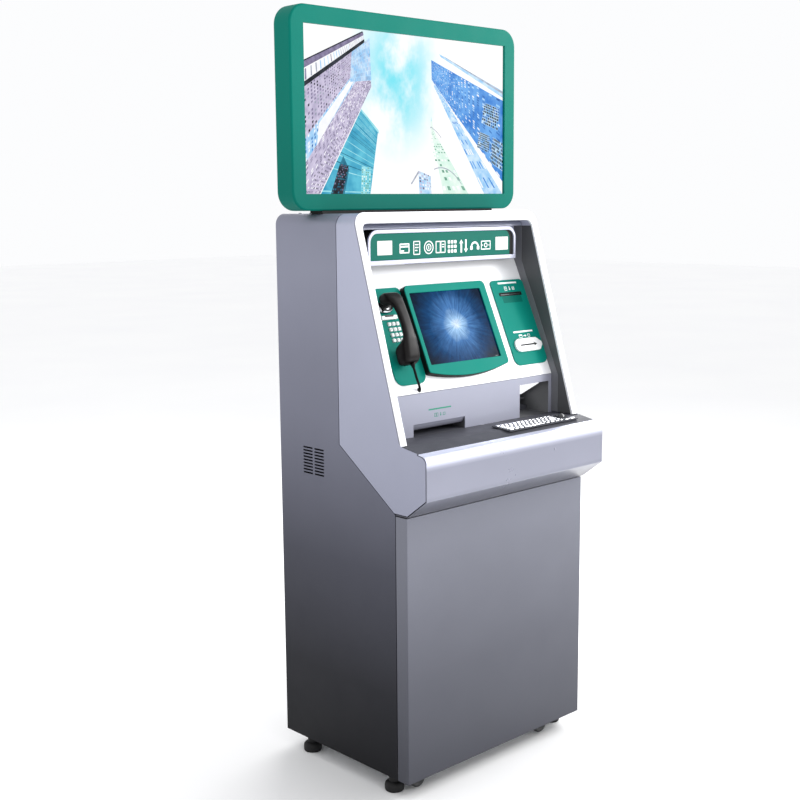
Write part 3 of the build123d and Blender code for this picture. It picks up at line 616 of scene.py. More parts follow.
for s, tag in ((-1, "left"), (1, "right")):
    # liner wall behind the rim, down to the shelf, with its rear edge on the fascia
    zt = 1340.0
    out = [(yr(820.2) + 5.6, 820.2), (yr(1326) + 5.6, 1326.0), (222.0, 1326.0), (222.0, 1222.2), (86.8, 922.0), (86.8, 820.2)]
    bm = bmesh.new()
    tube_yz(bm, out, s * 300.0, s * 317.6)
    finish_obj("hood_liner_" + tag, bm, m_liner, "root", bevel=0.6)
    # folded flange of the fascia that lies along the liner
    w0 = 25.0
    path = [(222.0, 1325.0), (222.0, 1222.2), (86.8, 922.0), (86.8, 820.4)]
    fr = [(222.0 - w0, 1325.0), (222.0 - w0, 1222.2 - w0 * 0.21), (86.8 - w0 * 0.80, 922.0 - w0 * 0.16), (86.8 - w0 * 0.80, 820.4)]
    bm = bmesh.new()
    prev = None
    for (ya, za), (yb, zb) in zip(path, fr):
        cur = [bm.verts.new(P(s * 299.95, ya, za)), bm.verts.new(P(s * 296.2, ya, za)), bm.verts.new(P(s * 298.9, yb, zb)), bm.verts.new(P(s * 299.95, yb, zb))]
        if prev:
            for k in range(4):
                j = (k + 1) % 4
                bm.faces.new((prev[k], prev[j], cur[j], cur[k]))
        else:
            bm.faces.new(cur)
        prev = cur
    bm.faces.new(list(reversed(prev)))
    finish_obj("fascia_flange_" + tag, bm, m_flange, "root", bevel=0.4)

# underside of the roof
bm = bmesh.new()
roof_o = u_path(317.4, 1344.4, 27.6, 1318.0)
roof_i = u_path(300.0, 1325.0, 16, 1318.0)
sec = []
for (xo, zo), (xi, zi) in zip(roof_o, roof_i):
    sec.append([bm.verts.new(P(xo, yr(zo) + 8.6, zo)), bm.verts.new(P(xi, yr(zi) + 8.2, zi)), bm.verts.new(P(xi, 221.8, zi)), bm.verts.new(P(xo, 232.6, zo))])
for a, b2 in zip(sec, sec[1:]):
    for k in range(4):
        j = (k + 1) % 4
        bm.faces.new((a[k], a[j], b2[j], b2[k]))
bm.faces.new(sec[0])
bm.faces.new(list(reversed(sec[-1])))
finish_obj("hood_roof_lining", bm, m_header, "root", bevel=0.5)

# ------------------------------------------------------------------ console apron: one bent sheet with the rounded lip
SH = 2.0


def lip(extra):
    """Apron profile from the shelf joint round the lip to the underside, offset inwards by extra."""
    zf = slope(-67) - 0.0
    pts = [(-39.0, slope(-39.0)), (-67.0, zf), (-67.0, 702.0), (-4.0, 655.0), (36.0, 655.0)]
    if extra:
        pts = [(-39.0, slope(-39.0) - extra), (-67.0 + extra, slope(-67.0 + extra) - extra), (-67.0 + extra, 702.9 + extra * 0.02), (-4.0 + extra * 0.33, 655.0 + extra), (36.0, 655.0 + extra)]
    return pts


def open_round(pts, radii, seg):
    full = rounded(pts + [(pts[-1][0] + 200, pts[-1][1] + 500), (pts[0][0] + 200, pts[0][1] + 500)], [0] + radii + [0, 0, 0], seg)
    return full[: len(full) - 2]


out_l = open_round(lip(0), [32, 5, 4], 14)
in_l = open_round(lip(SH), [30, 3.4, 3], 14)
bm = bmesh.new()
tube_yz(bm, out_l + list(reversed(in_l)), -320.0, 320.0, nx=1)
finish_obj("console_apron_skin", bm, m_apron, "root", ("console_apron",), bevel=0.7, seg=2, angle=50)
# dark sheet in the gap beside the apron and rim: painted shadow, standing in for the shade there
for s, tag in ((-1, "left"), (1, "right")):
    o2 = rounded([(-34.0, slope(-34.0) - 2.6), (-60.5, slope(-60.5) - 7.0), (-60.5, 706.5), (6.0, 660.4), (40.0, 660.4), (60.0, 700.0), (30.0, 790.0)], [0, 24, 3, 2, 0, 0, 0], 10)
    bm = bmesh.new()
    tube_yz(bm, o2, s * 315.4, s * 317.8)
    finish_obj("console_gap_shadow_sheet_" + tag, bm, m_seam, "root")
# small plugged cable bore on the apron
bm = bmesh.new()
lathe(bm, [(0, 0.9), (2.6, 0.9), (3.3, 0.5), (3.6, 0.0), (3.6, -1.0), (0, -1.0)], lambda a, b, h: P(128.7 + a, -67.0 - h, 762.5 + b), 24)
finish_obj("apron_plug", bm, m_apron, "root", wn=False)

# ------------------------------------------------------------------ header: case, trim, green face, windows, pictograms
hx = rrect(-262, 262, 1224.5, 1308.5, (2, 2, 30, 30), 10)
bm = bmesh.new()
slab(bm, rrect(-261.2, 261.2, 1225.3, 1307.7, (2, 2, 29, 29), 10), FX(222.0), 0.0, 33.0)
finish_obj("header_case", bm, m_dark, "root", ("header_box",), bevel=0.4)
bm = bmesh.new()
ring(bm, hx, rrect(-254.8, 254.8, 1235.0, 1299.4, (2, 2, 22, 22), 10), FX(189.6), 0.0, 4.6)
finish_obj("header_trim", bm, m_trim, "root", bevel=0.9, seg=3)
bm = bmesh.new()
slab(bm, rrect(-254.2, 238.6, 1235.6, 1298.8, (2, 2, 20, 21), 10), FX(189.0), 0.0, 2.8)
finish_obj("header_face", bm, m_signg, "root", ("header_sign",), bevel=0.35)
# rolled cover strip that closes the gap between the header and the roof
bm = bmesh.new()
tube_yz(bm, rounded([(193.6, 1309.2), (193.6, 1312.0), (196.2, 1318.5), (205.0, 1324.4), (221.6, 1324.4), (221.6, 1309.2)], [0.6, 3, 9, 4, 0, 0], 6), -296.0, 296.0)
finish_obj("header_top_strip", bm, m_strip, "root", bevel=0.4)
for tag, x in (("left", -208.0), ("right", 208.0)):
    bm = bmesh.new()
    slab(bm, rrect(x - 24, x + 24, 1248, 1282, 1.2, 3), FX(186.2), 0.0, 0.5)
    finish_obj("header_window_" + tag, bm, m_window, "root", bevel=0.15)


def icon(name, parts, fn, body="root", mat=None, t=0.45):
    """Flat pictogram: each part is (outer,) or (outer, inner) outlines."""
    bm = bmesh.new()
    for p in parts:
        if len(p) == 1:
            slab(bm, p[0], fn, 0.0, t)
        else:
            ring(bm, p[0], p[1], fn, 0.0, t)
    return finish_obj(name, bm, mat or m_mark, body, bevel=0.12, seg=1, merge=0)


def circ(cx, cz, r, n=24):
    return [(cx + r * math.cos(2 * math.pi * k / n), cz + r * math.sin(2 * math.pi * k / n)) for k in range(n)]


def rr(cx, cz, w, h, r=1.0, seg=3):
    return rrect(cx - w / 2, cx + w / 2, cz - h / 2, cz + h / 2, r, seg)


def frame2(cx, cz, w, h, t, r=2.5):
    return (rr(cx, cz, w, h, r), rr(cx, cz, w - 2 * t, h - 2 * t, max(0.3, r - t)))


def arrow(cx, cz, l, w, head, up=1):
    z0, z1 = cz - l / 2, cz + l / 2
    p = [(cx - w / 2, z0), (cx + w / 2, z0), (cx + w / 2, z1 - head), (cx + head * 0.75, z1 - head), (cx, z1), (cx - head * 0.75, z1 - head), (cx - w / 2, z1 - head)]
    return p if up > 0 else [(2 * cx - x, 2 * cz - z) for x, z in p]


SF = FX(186.25)
cz = 1262.0
xs = [-143.0 + 41.4 * i for i in range(8)]
icon("header_icon_card", [frame2(xs[0], cz, 33, 24, 2.8), (rr(xs[0], cz + 4.4, 30, 4.4, 0.4),), (rr(xs[0] - 7, cz - 6, 11, 3, 0.6),)], SF)
icon("header_icon_receipt", [frame2(xs[1], cz, 23, 34, 2.6), (rr(xs[1], cz + 8, 12, 2.8, 0.6),), (rr(xs[1], cz + 1, 12, 2.8, 0.6),), (rr(xs[1] - 2, cz - 6, 8, 2.8, 0.6),)], SF)
icon("header_icon_coin", [(circ(xs[2], cz, 16.5), circ(xs[2], cz, 13.7)), (circ(xs[2], cz, 9.0), circ(xs[2], cz, 6.6)), (rr(xs[2], cz, 2.6, 9, 0.5),)], SF)
icon("header_icon_book", [frame2(xs[3] - 8.6, cz, 17.4, 30, 2.6, 2.0), frame2(xs[3] + 8.6, cz, 17.4, 30, 2.6, 2.0), (rr(xs[3] + 8.6, cz + 6, 8, 2.4, 0.5),), (rr(xs[3] + 8.6, cz, 8, 2.4, 0.5),)], SF)
icon("header_icon_keypad", [(rr(xs[4] + 11.5 * i, cz + 11.5 * j, 8.2, 8.2, 1.6),) for i in (-1, 0, 1) for j in (-1, 0, 1)], SF)
icon("header_icon_arrows", [(arrow(xs[5] - 8.4, cz, 33, 5.4, 9.5, 1),), (arrow(xs[5] + 8.4, cz, 33, 5.4, 9.5, -1),)], SF)
arc_o = [(xs[6] + 15.5 * math.cos(math.radians(a)), cz - 5 + 15.5 * math.sin(math.radians(a))) for a in range(12, 169, 12)]
arc_i = [(xs[6] + 10.5 * math.cos(math.radians(a)), cz - 5 + 10.5 * math.sin(math.radians(a))) for a in range(12, 169, 12)]
icon("header_icon_phone", [(arc_o + list(reversed(arc_i)),), (rr(xs[6] - 12.4, cz - 5.6, 9.4, 9.8, 2.2),), (rr(xs[6] + 12.4, cz - 5.6, 9.4, 9.8, 2.2),)], SF)
icon("header_icon_note", [frame2(xs[7], cz, 36, 23, 2.6, 2.0), (circ(xs[7], cz, 6.4), circ(xs[7], cz, 3.9)), (rr(xs[7] - 12, cz, 3, 3, 0.6),), (rr(xs[7] + 12, cz, 3, 3, 0.6),)], SF)

# ------------------------------------------------------------------ touch monitor: black housing, green bezel, glass
def mon_outline(grow, n=24, r=14.0):
    x0, x1, u0 = -155.5 - grow, 130.0 + grow, 62.2 - grow
    bot = []
    for i in range(n + 1):
        t = i / n
        bot.append((x1 + (x0 - x1) * t, 287.2 + grow + 18.0 * (1 - (2 * t - 1) ** 2)))
    pts = [(x0, u0), (x1, u0)] + bot
    radii = [max(0.5, r + grow)] * 2 + [max(0.5, r + grow)] + [0] * (n - 1) + [max(0.5, r + grow)]
    return rounded(pts, radii, 8)


def mon_window(n=24, x0=-143.5, x1=107.0, u0=83.0, u1=268.5, r=3.0):
    bot = [(x1 + (x0 - x1) * i / n, u1) for i in range(n + 1)]
    return rounded([(x0, u0), (x1, u0)] + bot, [r, r, r] + [0] * (n - 1) + [r], 8)


bm = bmesh.new()
ring(bm, mon_outline(0.0), mon_window(x0=-146, x1=110, u0=80, u1=271.5), I, 0.05, 16.6)
finish_obj("monitor_housing", bm, m_dark, "root", bevel=0.6)
bm = bmesh.new()
ring(bm, mon_outline(-0.7), mon_window(), I, 16.2, 19.2)
finish_obj("monitor_bezel_front", bm, m_green, "root", ("monitor_bezel",), bevel=0.9, seg=3)
bm = bmesh.new()
slab(bm, mon_window(x0=-148.5, x1=112.5, u0=77.0, u1=274.0), I, 0.0, 14.0)
slab(bm, mon_window(x0=-134.0, x1=126.0, u0=75.0, u1=273.5), I, -40.0, 0.4)
finish_obj("monitor_chassis", bm, m_dark, "root", bevel=0.8)


def screen_mat():
    """Dark blue touch screen with a soft glow and faint rays from its centre."""
    M = Mat("touch_glow")
    c0 = I(-15.0, 173.0, 15.6)
    rel = M.node("ShaderNodeVectorMath", {0: M.obj, 1: tuple(c0)}, operation="SUBTRACT").outputs[0]
    a = M.node("ShaderNodeVectorMath", {0: rel, 1: (1.0, 0.0, 0.0)}, operation="DOT_PRODUCT").outputs["Value"]
    b = M.node("ShaderNodeVectorMath", {0: rel, 1: (0.0, -NZ, NY)}, operation="DOT_PRODUCT").outputs["Value"]
    r = M.math("SQRT", M.math("ADD", M.math("POWER", a, 2.0), M.math("POWER", b, 2.0)))
    ang = M.math("ARCTAN2", b, a)
    ray = M.node("ShaderNodeCombineXYZ", {0: M.math("MULTIPLY", M.math("COSINE", ang), 5.0), 1: M.math("MULTIPLY", M.math("SINE", ang), 5.0), 2: M.math("MULTIPLY", r, 9.0)}).outputs[0]
    rays = M.node("ShaderNodeTexNoise", {"Vector": ray, "Scale": 2.4, "Detail": 4.0, "Roughness": 0.65}).outputs[0]
    puff = M.noise(26.0, 4.0, rough=0.6)
    rr_ = M.math("ADD", r, M.math("MULTIPLY", M.math("SUBTRACT", puff, 0.5), 0.05))
    fall = M.ramp(M.math("DIVIDE", rr_, 0.155), [(0.0, lin((232, 244, 255))[:3]), (0.10, lin((168, 206, 240))[:3]), (0.30, lin((74, 124, 180))[:3]), (0.58, lin((14, 66, 112))[:3]), (0.86, lin((3, 32, 58))[:3]), (1.0, lin((2, 18, 38))[:3])])
    col = M.mix(0.75, fall, M.ramp(M.rng(rays, 0.3, 0.72, 0.0, 1.0), [(0.0, (0.35, 0.40, 0.48)), (0.55, (0.85, 0.9, 0.97)), (1.0, (1.45, 1.4, 1.3))]), "MULTIPLY")
    M.set(Emission_Color=col, Base_Color=M.mix(0.985, col, (0, 0, 0, 1)), Roughness=M.rng(M.noise(60.0, 3.0), 0.3, 0.7, 0.16, 0.24))
    M.b.inputs["Emission Strength"].default_value = 1.15
    M.b.inputs["Specular IOR Level"].default_value = 0.015
    return M.m


m_touch = screen_mat()
bm = bmesh.new()
slab(bm, rrect(-145.6, 109.6, 80.4, 271.1, 2.0, 4), I, 13.8, 15.6)
finish_obj("monitor_glass", bm, m_touch, "root", ("monitor_screen",), bevel=0.3)
bm = bmesh.new()
slab(bm, rrect(90.0, 100.0, 264.2, 265.6, 0.4, 2), I, 15.6, 15.7)
finish_obj("monitor_status_mark", bm, m_digit, "root", merge=0)

# ------------------------------------------------------------------ phone: cradle, hook bar, keys, handset
bm = bmesh.new()
prof = []
NSEG, MSEG = 28, 12
for i in range(NSEG + 1):
    t = i / NSEG
    x = -246.0 + 48.0 * t
    row = []
    for k in range(MSEG + 1):
        al = math.pi * k / MSEG
        w_ = math.sqrt(max(0.0, 1 - (2 * t - 1) ** 2)) ** 0.7
        u = 103.0 + 11.0 * (1 - math.cos(al)) * (0.35 + 0.65 * w_)
        o = 3.0 + 9.5 * math.sin(al) ** 0.75 * (0.25 + 0.75 * w_)
        row.append(bm.verts.new(I(x, u, o)))
    prof.append(row)
for a, b2 in zip(prof, prof[1:]):
    for k in range(MSEG):
        bm.faces.new((a[k], a[k + 1], b2[k + 1], b2[k]))
    bm.faces.new((a[0], b2[0], b2[MSEG], a[MSEG]))
bm.faces.new(prof[0])
bm.faces.new(list(reversed(prof[-1])))
finish_obj("phone_cradle_cup", bm, m_chrome, "root", ("phone_cradle",), wn=False)
bm = bmesh.new()
slab(bm, rounded([(-246, 98), (-198, 98), (-198, 108), (-246, 108)], 2.5, 4), I, 3.0, 9.0)
finish_obj("phone_cradle_back", bm, m_black, "root", bevel=0.8)

bm = bmesh.new()
slab(bm, rounded([(-245, 131), (-235, 131), (-233, 135), (-207, 135), (-205, 131), (-195, 131), (-195, 141), (-245, 141)], [1.2] * 8, 3), I, 3.5, 9.0)
bx(bm, -235.4, -204.6, 133.6, 138.4, -11.6, 3.7, I)
finish_obj("hook_bar", bm, m_whitep, "hook_switch", ("hook_switch",), bevel=0.5)
bm = bmesh.new()
slab(bm, rounded([(-234, 129.5), (-206, 129.5), (-206, 134.4), (-234, 134.4)], 1.0, 3), I, 3.0, 7.6)
finish_obj("hook_notch_block", bm, m_black, "root", bevel=0.4)

KEY_X, KEY_U, KPX, KPU, KS = -210.0, 152.0, 13.4, 13.8, 9.6
DIG = [["1", "4", "7", "*"], ["2", "5", "8", "0"], ["3", "6", "9", "#"]]
for c, tag in enumerate(("left", "middle", "right")):
    bm = bmesh.new()
    for r in range(4):
        kx, ku = KEY_X + (c - 1) * KPX, KEY_U + r * KPU
        base_o = rrect(kx - KS / 2, kx + KS / 2, ku - KS / 2, ku + KS / 2, 1.6, 4)
        lo_ = [bm.verts.new(I(a, b_, 0.0)) for a, b_ in base_o]
        levels = [(3.4, 0.0), (5.2, 0.35), (6.05, 0.8), (6.4, 1.5)]
        prev = lo_
        bm.faces.new(list(reversed(lo_)))
        for h, inset in levels:
            cur = [bm.verts.new(I(kx + (a - kx) * (1 - 2 * inset / KS), ku + (b_ - ku) * (1 - 2 * inset / KS), h)) for a, b_ in base_o]
            for k in range(len(cur)):
                j = (k + 1) % len(cur)
                bm.faces.new((prev[k], prev[j], cur[j], cur[k]))
            prev = cur
        cen = bm.verts.new(I(kx, ku, 6.1))
        for k in range(len(prev)):
            bm.faces.new((prev[k], prev[(k + 1) % len(prev)], cen))
    finish_obj("phone_key_caps_" + tag, bm, m_keyw, "phone_keys_" + tag, ("phone_keys_" + tag,), wn=False)
    for r in range(4):
        cu = bpy.data.curves.new("digit", "FONT")
        cu.body = DIG[c][r]
        cu.size = 0.0062
        cu.extrude = 0.00008
        cu.align_x, cu.align_y = "CENTER", "CENTER"
        to = bpy.data.objects.new("digit_tmp", cu)
        bpy.context.scene.collection.objects.link(to)
        bpy.context.view_layer.update()
        me = bpy.data.meshes.new_from_object(to)
        bpy.data.objects.remove(to)
        kx, ku = KEY_X + (c - 1) * KPX, KEY_U + r * KPU
        for v in me.vertices:
            v.co = I(kx + v.co.x / S, ku - v.co.y / S, 6.2 + v.co.z / S)
        me.materials.append(m_digit)
        me.name = "phone_digit_%s_%d" % (tag, r + 1)
        do = bpy.data.objects.new(me.name, me)
        bpy.context.scene.collection.objects.link(do)
        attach(do, "phone_keys_" + tag)


def interp(tab, u):
    for (u0, v0), (u1, v1) in zip(tab, tab[1:]):
        if u0 <= u <= u1:
            t = (u - u0) / (u1 - u0)
            return v0 + (v1 - v0) * t
    return tab[0][1] if u < tab[0][0] else tab[-1][1]


def smooth_tab(tab, u, w=2.2):
    return sum(interp(tab, u + w * k / 3.0) for k in range(-3, 4)) / 7.0


# outer back, inner face and half width of the handset along the slope
TOPT = [(82.0, 30.0), (84.0, 39.0), (88.0, 45.0), (94.0, 49.6), (104.0, 55.0), (125.0, 60.4), (150.0, 63.4), (175.0, 64.4), (205.0, 62.4), (232.0, 57.2), (250.0, 52.6), (257.0, 48.4), (262.0, 41.5), (264.5, 33.0)]
BOTT = [(82.0, 26.0), (83.5, 18.5), (86.0, 14.4), (92.0, 12.9), (103.0, 12.9), (106.5, 15.0), (109.5, 22.0), (113.0, 32.0), (117.0, 41.0), (124.0, 46.6), (140.0, 50.4), (175.0, 51.8), (200.0, 49.4), (207.0, 44.6), (212.0, 35.0), (216.0, 23.0), (220.0, 15.0), (225.0, 12.6), (232.0, 12.2), (256.0, 12.2), (260.5, 15.0), (263.2, 21.0), (264.5, 28.0)]
WIDT = [(82.0, 15.0), (83.5, 19.0), (87.0, 22.6), (94.0, 24.4), (102.0, 24.6), (110.0, 21.0), (122.0, 16.6), (140.0, 14.8), (175.0, 14.4), (198.0, 16.0), (216.0, 22.6), (232.0, 24.6), (252.0, 24.4), (259.0, 22.4), (263.0, 18.6), (264.5, 14.5)]
stations = [82.0, 82.5, 83.2, 84.2, 85.6, 87.4, 90.0, 93.5, 98.0, 102.0, 105.0, 107.5, 110.0, 112.5, 115.0, 118.5, 122.0, 126.0, 132.0, 140.0, 150.0, 160.0, 170.0, 180.0, 190.0, 197.0, 202.0, 206.0, 209.0, 212.0, 214.5, 217.0, 220.0, 224.0, 229.0, 235.0, 242.0, 249.0, 254.0, 257.5, 260.0, 262.0, 263.4, 264.2, 264.5]
bm = bmesh.new()
NR = 40
prev = None
for u in stations:
    top_, bot_, hw = smooth_tab(TOPT, u, 1.6), smooth_tab(BOTT, u, 1.4), interp(WIDT, u)
    if u in (82.0, 264.5):
        top_, bot_ = interp(TOPT, u), interp(BOTT, u)
    cen, hh = (top_ + bot_) / 2, (top_ - bot_) / 2
    e = 4.6
    cur = []
    for k in range(NR):
        al = 2 * math.pi * (k + 0.5) / NR
        cx_, sx_ = math.cos(al), math.sin(al)
        x = hw * math.copysign(abs(cx_) ** (2 / e), cx_)
        o = hh * math.copysign(abs(sx_) ** (2 / e), sx_)
        if o > 0:
            o += 1.0 * (1 - (x / hw) ** 2) - 0.5
        cur.append(bm.verts.new(I(-222.0 + x, u, cen + o)))
    if prev:
        for k in range(NR):
            j = (k + 1) % NR
            bm.faces.new((prev[k], prev[j], cur[j], cur[k]))
    else:
        bm.faces.new(cur)
    prev = cur
bm.faces.new(list(reversed(prev)))
finish_obj("handset_shell", bm, m_phone, "handset", ("handset",), sub=1)
for tag, uc in (("ear", 103.5), ("mouth", 243.0)):
    bm = bmesh.new()
    lathe(bm, [(0, 12.4), (12.5, 12.3), (16.6, 12.0), (18.4, 12.4), (19.0, 13.6), (18.8, 15.0)], lambda a, b, h: I(-222.0 + a, uc + b, h), 36)
    for rr0, nn in ((0.0, 1), (4.2, 6), (8.4, 12), (12.4, 18)):
        for k in range(nn):
            al = 2 * math.pi * k / nn
            lathe(bm, [(0, 12.22), (0.85, 12.22), (0.95, 12.5)], lambda a, b, h: I(-222.0 + rr0 * math.cos(al) + a, uc + rr0 * math.sin(al) + b, h), 8)
    finish_obj("handset_%s_cap" % tag, bm, m_black, "handset", wn=False, merge=0)

# ------------------------------------------------------------------ service panel: slot lip, card bezel, marks
bm = bmesh.new()
ring(bm, rrect(190.5, 277.5, 96.2, 105.8, 2.2, 4), rrect(195.5, 272.5, 99.2, 102.9, 0.8, 4), I, 2.0, 4.1)
finish_obj("receipt_slot_lip", bm, m_dark, "root", bevel=0.5)
# thin plate under the receipt slot in the darker green: painted shade below the slot
bm = bmesh.new()
slab(bm, rrect(199.0, 273.0, 106.6, 125.0, (4, 4, 1, 1), 4), I, 2.9, 3.25)
finish_obj("receipt_slot_shade_plate", bm, m_green_painted_shade, "root", bevel=0.15)
for tag, u in (("upper", 69.6), ("lower", 206.8)):
    bm = bmesh.new()
    slab(bm, rrect(198.5 if tag == "upper" else 198.0, 270.5 if tag == "upper" else 272.5, u - 2.3, u + 2.3, 0.6, 3), I, 3.0, 3.3)
    finish_obj("service_bar_" + tag, bm, m_mark, "root", bevel=0.1)


def IM(a, b, d):
    return I(a, -b, 3.0 + d)


icon("service_icons_upper", [frame2(222, -85.5, 9.5, 11.5, 1.3, 1.2), (rr(222, -83.4, 5.2, 1.2, 0.3),), (rr(222, -86.2, 5.2, 1.2, 0.3),), (arrow(237.0, -85.5, 11.5, 2.4, 4.4, -1),), (rr(251.5, -85.5, 8.5, 8.5, 1.0), rr(251.5, -85.5, 5.9, 5.9, 0.5)), (rr(251.5, -85.5, 3.0, 3.0, 0.4),)], IM, t=0.3)
icon("service_icons_lower", [frame2(221, -219.0, 13.0, 8.8, 1.3, 1.4), (rr(221, -217.2, 11.4, 1.6, 0.2),), ([(232.0, -217.9), (238.5, -217.9), (238.5, -215.6), (243.6, -219.0), (238.5, -222.4), (238.5, -220.1), (232.0, -220.1)],), (rr(253.0, -219.0, 8.5, 8.5, 1.0), rr(253.0, -219.0, 5.9, 5.9, 0.5))], IM, t=0.3)

cb = rounded([(186, 227), (270, 227), (289, 240.5), (289, 249.0), (275, 262), (186, 262)], [17, 6, 3, 3, 6, 17], 8)
bm = bmesh.new()
slab(bm, cb, I, 2.9, 8.6)
card = finish_obj("card_bezel", bm, m_whitep, "root", ("card_slot_bezel",), bevel=0)


def carve(o, cutters):
    """Take cutter meshes out of o and keep the result as o's mesh."""
    for c in cutters:
        md = o.modifiers.new("cut", "BOOLEAN")
        md.operation, md.solver, md.object = "DIFFERENCE", "EXACT", c
    bpy.context.view_layer.update()
    dg = bpy.context.evaluated_depsgraph_get()
    me = bpy.data.meshes.new_from_object(o.evaluated_get(dg))
    o.modifiers.clear()
    old = o.data
    o.data = me
    bpy.data.meshes.remove(old)
    for c in cutters:
        bpy.data.objects.remove(c)
    return o


def cutter(build):
    bm_ = bmesh.new()
    build(bm_)
    bmesh.ops.recalc_face_normals(bm_, faces=bm_.faces)
    me = bpy.data.meshes.new("cutter")
    bm_.to_mesh(me)
    bm_.free()
    c = bpy.data.objects.new("cutter", me)
    bpy.context.scene.collection.objects.link(c)
    return c


def soften(o, width, seg=2, angle=35.0):
    for p in o.data.polygons:
        p.use_smooth = True
    b_ = o.modifiers.new("edge", "BEVEL")
    b_.width, b_.segments, b_.limit_method, b_.angle_limit = width * S, seg, "ANGLE", math.radians(angle)
    b_.use_clamp_overlap = True
    w_ = o.modifiers.new("normals", "WEIGHTED_NORMAL")
    w_.weight = 60
    return o


carve(card, [cutter(lambda m: slab(m, rrect(206.0, 262.5, 243.5, 246.5, 0.5, 3), I, 1.0, 12.0))])
soften(card, 1.8, 3, 30)
bm = bmesh.new()
slab(bm, [(255.5, 238.6), (268.8, 245.0), (255.5, 251.4), (258.6, 245.0)], I, 8.5, 8.85)
finish_obj("card_arrow_head", bm, m_markk, "root", bevel=0.12)
bm = bmesh.new()
slab(bm, rrect(203.0, 257.5, 242.9, 247.1, 0.9, 3), I, 2.9, 8.7)
arrow_bar = finish_obj("card_slot_liner", bm, m_markk, "root")
carve(arrow_bar, [cutter(lambda m: slab(m, rrect(206.4, 262.1, 243.9, 246.1, 0.4, 3), I, 1.0, 12.0))])

# ------------------------------------------------------------------ lower fascia: marks, passbook slot, document bay
LF = FX(87.0)
bm = bmesh.new()
slab(bm, rrect(-161, -84, 876.6, 880.0, 0.5, 3), LF, 0.0, 0.35)
finish_obj("passbook_bar", bm, m_markg, "root", bevel=0.1)
icon("passbook_icons", [frame2(-138.5, 863.4, 6.4, 9.4, 1.0, 0.7), frame2(-131.7, 863.4, 6.4, 9.4, 1.0, 0.7), (arrow(-120.0, 863.4, 9.4, 1.9, 3.6, -1),), (rr(-108.0, 863.4, 7.6, 7.6, 0.8), rr(-108.0, 863.4, 5.4, 5.4, 0.4))], LF, mat=m_markg, t=0.3)


def open_box(name, x0, x1, y0, y1, z0, z1, t, mat, replaces=()):
    """Box open towards the front, with walls t thick."""
    bm_ = bmesh.new()
    fn = lambda a, b_, d: P(a, y1 - d, b_)
    outer_ = rrect(x0 - t, x1 + t, z0 - t, z1 + t, 0.6, 2)
    inner_ = rrect(x0, x1, z0, z1, 0.4, 2)
    n = len(outer_)
    of_ = [bm_.verts.new(fn(a, b_, y1 - y0)) for a, b_ in outer_]
    if_ = [bm_.verts.new(fn(a, b_, y1 - y0)) for a, b_ in inner_]
    ob = [bm_.verts.new(fn(a, b_, 0)) for a, b_ in outer_]
    ib = [bm_.verts.new(fn(a, b_, t)) for a, b_ in inner_]
    for k in range(n):
        j = (k + 1) % n
        bm_.faces.new((of_[k], of_[j], if_[j], if_[k]))
        bm_.faces.new((ob[k], ob[j], of_[j], of_[k]))
        bm_.faces.new((if_[k], if_[j], ib[j], ib[k]))
    bm_.faces.new(ib)
    bm_.faces.new(list(reversed(ob)))
    return finish_obj(name, bm_, mat, "root", replaces, bevel=0.4)


open_box("passbook_recess", -212, -34, 89.2, 152, 818.3, 847.5, 1.8, m_liner, ("passbook_slot_tray",))
bm = bmesh.new()
tube_yz(bm, rounded([(89.6, 847.4), (92.6, 840.0), (98.0, 833.2), (104.6, 830.4), (128.0, 830.4), (128.0, 832.0), (105.2, 832.0), (99.2, 834.6), (94.4, 840.8), (91.6, 847.4)], [0, 4, 4, 3, 0.4, 0.4, 3, 4, 4, 0], 4), -211.8, -34.2)
finish_obj("passbook_guide_plate", bm, m_silver, "root", bevel=0.3)
bm = bmesh.new()
tube_yz(bm, [(88.6, 818.2), (151.6, 818.2), (151.6, 819.0), (88.6, 818.4)], -211.6, -34.4)
finish_obj("passbook_floor_strip", bm, m_shelf, "root", bevel=0.1)

open_box("document_bay_walls", 170.5, 287.0, 89.2, 194.0, 818.3, 903.0, 1.8, m_liner, ("document_bay",))
# sloped plate in the document bay, glowing white: painted highlight
bm = bmesh.new()
tube_yz(bm, [(110.0, 897.0), (115.0, 897.0), (172.6, 862.4), (174.6, 859.6), (172.0, 859.8), (111.6, 895.6)], 170.7, 274.0)
finish_obj("document_bay_glowing_plate", bm, m_bay_plate_glow, "root", bevel=0.4)
bm = bmesh.new()
tube_yz(bm, rounded([(164, 818.4), (193.8, 818.4), (193.8, 830), (164, 830)], [0, 0, 0, 2.5], 4), 170.7, 286.8)
tube_yz(bm, [(191.6, 831), (193.9, 831), (193.9, 864), (191.6, 864)], 188.0, 189.6)
finish_obj("document_bay_step", bm, m_shelf, "root", bevel=0.5)
# the feed lip's lighter flange paint is a painted highlight: the light line along the bay's feed edge
bm = bmesh.new()
tube_yz(bm, rounded([(172.0, 846.0), (193.8, 846.0), (193.8, 849.0), (172.0, 849.0)], 0.6, 2), 172.0, 285.6)
finish_obj("document_bay_feed_lip", bm, m_flange, "root", bevel=0.3)

# ------------------------------------------------------------------ keyboard: dished steel keys, trackball, buttons
KL, KD = 264.0, 64.0
FX0, FX1 = -KL / 2 + 5, KL / 2 - 52
PXK, PYK = (FX1 - FX0) / 14, (KD - 9) / 5
UNITS = [[1] * 14, [1.5] + [1] * 11 + [1.5], [1.75] + [1] * 10 + [2.25], [2.25] + [1] * 9 + [1.75, 1], [1.25, 1.25, 1.25, 5.5, 1.25, 1.25, 1.25, 1]]


